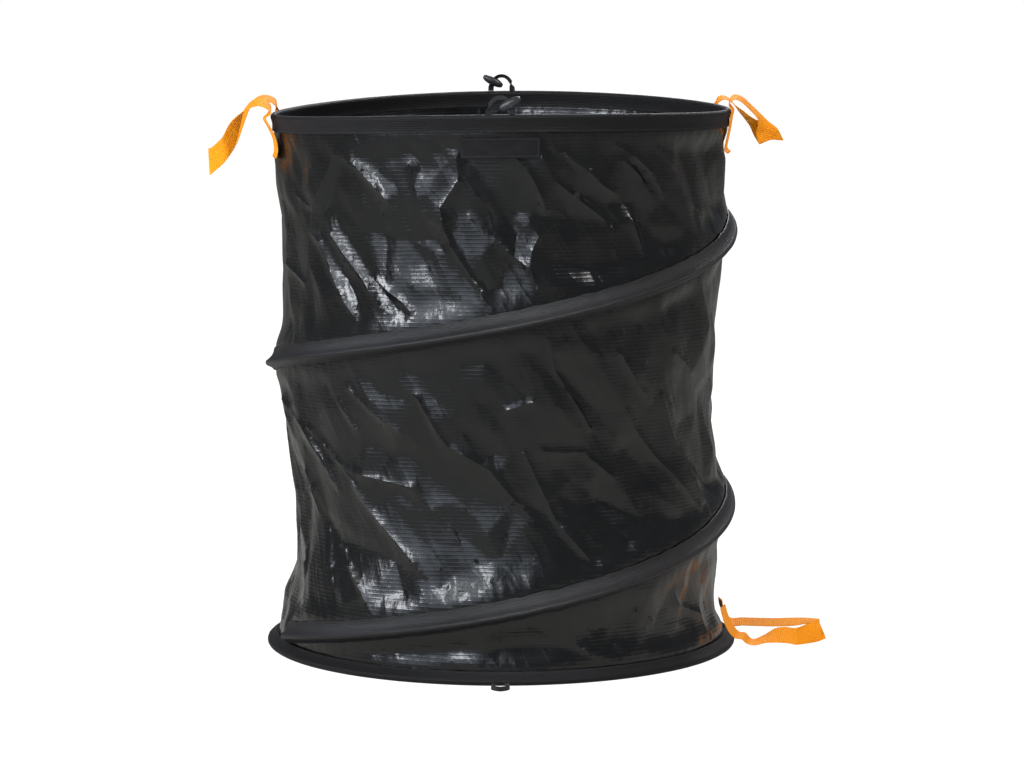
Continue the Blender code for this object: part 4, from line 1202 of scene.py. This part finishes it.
BASE_LOOP = (
    (732.0, 621.6, 0.040, 0, -2.0, 1), (742.0, 621.4, 0.038, 0, -2.2, 1), (757.0, 621.9, 0.034, 0, -2.3, 1),
    (775.0, 622.2, 0.028, 0, -2.3, 1), (793.0, 621.7, 0.016, 0.6, -2.2, 1),
    (806.0, 620.8, 0.006, 1.2, -1.2, 1), (816.5, 621.4, -0.006, 3.0, -0.8, 1),
    (821.4, 628.0, -0.014, -3.6, -8.4, 1), (819.0, 630.2, -0.019, -4.4, -9.4, 1),
    (811.0, 633.0, -0.024, -3.6, -9.6, 1), (798.0, 636.4, -0.030, -1.6, -7.4, 1),
    (786.0, 635.0, -0.036, -0.4, -6.8, 1), (775.0, 635.4, -0.040, 0.6, -5.6, 1),
    (765.0, 638.6, -0.044, 1.0, -2.6, 1), (755.0, 642.0, -0.048, 0.6, -1.2, 1),
    (748.5, 640.6, -0.050, 2.0, -1.2, 1), (743.5, 636.0, -0.056, 2.4, -1.6, 1),
    (737.0, 634.8, -0.062, 2.6, -1.4, 1), (731.2, 628.6, -0.070, 3.0, -1.0, 1),
    (727.0, 620.6, -0.076, 3.0, -0.6, 1), (724.4, 613.0, -0.080, 2.8, -0.6, 1),
    (722.8, 606.4, -0.082, 2.8, -0.6, 1),
)

# Each handle: its name, its body, its rows, how deep its tip is folded, its hinge, the way out from there and
# the two distances along it between which the strap bends, how it is held and what it lies on
HANDLES = (
    ("left_handle", "rim", LEFT_TAIL, LEFT_LOOP, 0.0, (-0.2778, 0, 0.6649), (-0.87, 0, 0.5),
     (0.010, 0.020), "hung", "rim_tape"),
    ("right_handle", "rim", RIGHT_TAIL, RIGHT_LOOP, -0.0042, (0.27631, 0.02904, 0.67099), (0.865, 0.091, 0.5),
     (0.010, 0.020), "hung", "rim_tape"),
    ("base_handle", "base", BASE_TAIL, BASE_LOOP, 0.0, (0.28949, -0.03043, 0.0041), (0.9945, -0.1045, 0),
     (0.004, 0.016), "laid", "base_tape"),
)
for name, body, tail, route, tip_fold, hinge, way_out, bend, held, under in HANDLES:
    rows = [sewn_row(*row) for row in tail] + [photo_row(*row) for row in route]
    strap, strap_length = strap_mesh(name + "_strap", rows, WEBBING_WIDTH, WEBBING_THICK, WEBBING_COLUMNS,
                                     WEBBING_STATION, webbing, tip_fold, FRAY)
    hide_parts(name + "_loop", name + "_front_tail", name + "_rear_tail")
    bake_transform(strap)


# Label.
# A small patch of black satin ribbon, its edges turned under and stitched to the film all round, with nothing
# on it.
LABEL_WIDE = 0.094
LABEL_TALL = 0.024
LABEL_THICK = 0.0006
LABEL_TOP = RIM_WIRE - RIM_TAPE_DROP - 0.006
LABEL_FACE = WALL_RADIUS + 0.0007
LABEL_CELL = 0.0012
LABEL_HEM = 0.0022
LABEL_RIB_PITCH = 0.0009
LABEL_PUFF = 0.00035
LABEL_SWAY = 0.0006
LABEL_SHARP = 40

label_finish = Finish("label_satin", roughness=0.52, sheen_weight=0.05, sheen_roughness=0.35)
label_finish.put(sheen_tint=(0.72, 0.70, 0.85), specular_ior_level=0.26)
label_weave = (label_finish.cloth("X") + label_finish.cloth("Y") * 0.5).wave(LABEL_RIB_PITCH)
label_cloud = label_finish.mottle(110.0, 3.0)
label_shade = label_weave * 0.35 + label_cloud * 0.4
label_finish.paint(label_shade, (0.0030, 0.0028, 0.0034), (0.0085, 0.0080, 0.0098))
label_finish.relief(label_weave + label_cloud * 1.4, 0.00018)


def label_point(across, up):
    """Return the point of the label at a distance from its middle and its lower edge."""
    degrees = FRONT + math.degrees(across / LABEL_FACE)
    rim = min(LABEL_WIDE / 2 - abs(across), up, LABEL_TALL - up)
    puff = LABEL_PUFF * math.exp(-((rim - LABEL_HEM * 0.45) / (LABEL_HEM * 0.5)) ** 2)
    wave = noise.noise(Vector((across * 70, up * 110, 3))) * LABEL_SWAY * smooth(rim / 0.004)
    radius = LABEL_FACE + LABEL_THICK + puff + max(wave, -0.0002)
    return polar(radius, degrees, LABEL_TOP - LABEL_TALL + up + rim_lift(degrees))


def label_grid():
    """Return the label's places across and up, in rows."""
    columns = round(LABEL_WIDE / LABEL_CELL)
    rows = round(LABEL_TALL / LABEL_CELL)
    spots = [(LABEL_WIDE * (column / columns - 0.5), LABEL_TALL * row / rows)
             for row in range(rows + 1) for column in range(columns + 1)]
    faces = []
    for row in range(rows):
        for column in range(columns):
            first = row * (columns + 1) + column
            faces.append((first, first + 1, first + columns + 2, first + columns + 1))
    return spots, faces


label_spots, label_faces = label_grid()
label_points = [label_point(*spot) for spot in label_spots]
label = cloth_object("label_bare_patch", label_points, label_spots, label_faces, LABEL_THICK, label_finish,
                     LABEL_SHARP)
dress(label, "label_patch", "rim")


def label_stitches():
    """Return the row of stitches that runs round the label inside its edge."""
    half, low, high = LABEL_WIDE / 2 - LABEL_HEM, LABEL_HEM, LABEL_TALL - LABEL_HEM
    corners = [Vector((-half, low)), Vector((half, low)), Vector((half, high)), Vector((-half, high))]
    row = []
    for index, start in enumerate(corners):
        way = corners[(index + 1) % 4] - start
        count = round(way.length / (STITCH_PITCH * 0.8))
        for step in range(count):
            spot = start + way * (step + 0.5) / count
            here = label_point(spot.x, spot.y)
            ahead = label_point(*(spot + way.normalized() * 0.0005))
            row.append((here, (ahead - here).normalized(), Vector((here.x, here.y, 0)).normalized()))
    return row


stitches("label_stitches", [label_stitches()], "rim")


# Toggle ribbons.
# A short black grosgrain ribbon stands in an arch on the rim in front and behind, its two ends sewn into the
# sleeve's fold, and carries a peg on one shoulder.
ARCH_WIDE = 0.028
ARCH_TALL = 0.0195
ARCH_FOOT = 0.6770
ARCH_ROUND = 0.85
ARCH_UPRIGHT = 0.62
ARCH_LEAN = 0.78
RIBBON_WIDE = 0.0072
RIBBON_THICK = 0.0009
RIBBON_STATION = 0.0012
RIBBON_COLUMNS = 4
RIBBON_RIB_PITCH = 0.0010
ARCH_STEPS = 12
SIDES = (("front", 1), ("rear", -1))

ribbon = Finish("grosgrain_ribbon", roughness=0.62, sheen_weight=0.10, sheen_roughness=0.4)
ribbon.put(sheen_tint=(0.8, 0.78, 0.85), specular_ior_level=0.3)
ribbon_ribs = ribbon.cloth("Y").wave(RIBBON_RIB_PITCH)
ribbon_cloud = ribbon.mottle(120.0, 2.0)
ribbon.paint(ribbon_ribs * 0.4 + ribbon_cloud * 0.4, (0.006, 0.006, 0.0065), (0.024, 0.023, 0.025))
ribbon.relief(ribbon_ribs + ribbon_cloud, 0.00028)


def on_rim(facing, across, up):
    """Return a point over the rim, in front or behind for -1, at a distance across to the right."""
    return Vector((across * facing, -RIM_RADIUS * facing, ARCH_FOOT + up))


def arch_rows(facing):
    """Return the places and edges of a ribbon arch, which leans so that its face shows from the front."""
    rows = []
    for step in range(ARCH_STEPS + 1):
        turn = math.pi * step / ARCH_STEPS
        peak = math.sin(turn) ** ARCH_ROUND
        place = on_rim(facing, ARCH_WIDE / 2 * math.cos(turn), ARCH_TALL * peak)
        normal = Vector((math.cos(turn) * facing, 0, math.sin(turn) * 1.2)).normalized()
        leaned = normal * ARCH_UPRIGHT + Vector((0, facing * ARCH_LEAN, 0))
        foot = Vector((facing, 0, 0))
        edge = foot.lerp(leaned, smooth(math.sin(turn) * 1.6)).normalized() * RIBBON_WIDE / 2
        rows.append((place, edge))
    return rows


for name, facing in SIDES:
    arch = strap_mesh(name + "_ribbon_arch", arch_rows(facing), RIBBON_WIDE, RIBBON_THICK, RIBBON_COLUMNS,
                      RIBBON_STATION, ribbon)[0]
    dress(arch, name + "_toggle_ribbon", name + "_ribbon")


# Toggle pegs.
# A moulded black peg, thick in its middle and tapered to blunt ends, with a cross hole that the ribbon runs
# through and a moulded lip round each mouth of the hole.
PEG_SPOT = Vector((0.011324, -0.2815, 0.689558))
PEG_TILT = math.radians(63.1)
PEG_REACH = 0.028
PEG_GIRTH = 0.0056
PEG_UNCUT_SHARE = 1.06
PEG_HOLE = 0.0036
PEG_LIP = 0.0006
PEG_LIP_SHARE = 0.80
PEG_SHARP = 50

moulded = Finish("moulded_plastic", roughness=0.36, specular_ior_level=0.5)
moulded_grain = moulded.mottle(900.0, 2.0)
moulded_cloud = moulded.mottle(60.0, 3.0)
moulded.paint(moulded_cloud, (0.010, 0.010, 0.011), (0.028, 0.029, 0.033))
moulded.put(roughness=moulded_cloud * 0.16 + 0.28)
moulded.relief(moulded_grain, 0.00012)


def primitive(kind, name, **settings):
    """Add one of Blender's primitives and return its object."""
    getattr(bpy.ops.mesh, "primitive_" + kind + "_add")(**settings)
    made = bpy.context.object
    made.name = name
    return made


def make_peg(name):
    """Make the peg upright about the origin: a spindle, its cross hole along X, and the hole's two lips."""
    peg = primitive("uv_sphere", name, segments=40, ring_count=28, radius=1)
    only(peg)
    bpy.ops.object.mode_set(mode="EDIT")
    bpy.ops.mesh.select_all(action="SELECT")
    full = (PEG_GIRTH, PEG_GIRTH, PEG_REACH / 2 * PEG_UNCUT_SHARE)
    bpy.ops.transform.resize(value=full, center_override=(0, 0, 0))
    bpy.ops.object.mode_set(mode="OBJECT")
    for vert in peg.data.vertices:
        vert.co.z = max(min(vert.co.z, PEG_REACH / 2), -PEG_REACH / 2)
    drill = primitive("cylinder", "drill", vertices=28, radius=PEG_HOLE, depth=PEG_GIRTH * 4,
                      rotation=(0, math.radians(90), 0))
    cut = peg.modifiers.new("cross_hole", "BOOLEAN")
    cut.object = drill
    cut.solver = "EXACT"
    only(peg)
    bpy.ops.object.modifier_apply(modifier=cut.name)
    bpy.data.objects.remove(drill, do_unlink=True)
    lips = []
    for side in (-1, 1):
        lip = primitive("torus", "lip", major_segments=28, minor_segments=8, major_radius=PEG_HOLE,
                        minor_radius=PEG_LIP, location=(side * PEG_GIRTH * PEG_LIP_SHARE, 0, 0),
                        rotation=(0, math.radians(90), 0))
        only(lip)
        bpy.ops.object.transform_apply(location=True, rotation=True, scale=True)
        lips.append(lip)
    only(peg)
    for lip in lips:
        lip.select_set(True)
    bpy.ops.object.join()
    return peg


for name, facing in SIDES:
    peg = make_peg(name + "_peg")
    stand = Matrix.Rotation(PEG_TILT, 4, "Y")
    turned = Matrix.Rotation(0 if facing == 1 else math.pi, 4, "Z")
    peg.data.transform(turned @ Matrix.Translation(PEG_SPOT) @ stand)
    peg.data.materials.clear()
    coat(peg, moulded, PEG_SHARP)
    dress(peg, name + "_toggle_peg", name + "_toggle")


# Closure loops.
# A loop of the same ribbon sewn under the base sleeve in front and behind; the pegs go through them when the
# bag is tied down flat. Here they lie on the floor, on edge.
CLOSURE_ROOT = 0.29442
CLOSURE_LEVEL = 0.0033
CLOSURE_LONG = 0.030
CLOSURE_WIDE = 0.020
CLOSURE_RIBBON = 0.0058

# Half of a loop's route from its root to its tip: shares of its length and half width, and from 0 where the
# ribbon lies flat to 1 where it stands on edge
CLOSURE_ROUTE = ((0.0, 0.55, 0.0), (0.32, 1.0, 0.75), (0.74, 0.95, 1.0), (1.0, 0.0, 1.0))


def closure_rows(facing):
    """Return the places and edges of a closure loop, from one root round its tip to the other."""
    route = [(out, -side, rise, 1) for out, side, rise in CLOSURE_ROUTE]
    route += [(out, side, rise, -1) for out, side, rise in reversed(CLOSURE_ROUTE[:-1])]
    rows = []
    for out, side, rise, way in route:
        place = Vector((side * CLOSURE_WIDE / 2 * facing, -(CLOSURE_ROOT + out * CLOSURE_LONG) * facing,
                        CLOSURE_LEVEL))
        edge = Vector((way * facing, 0, 0)).lerp(Vector((0, 0, 1)), rise).normalized()
        rows.append((place, edge * CLOSURE_RIBBON / 2))
    return rows


for name, facing in SIDES:
    loop = strap_mesh(name + "_closure_ribbon", closure_rows(facing), CLOSURE_RIBBON, RIBBON_THICK,
                      RIBBON_COLUMNS, RIBBON_STATION, ribbon)[0]
    dress(loop, name + "_closure_loop", name + "_closure")
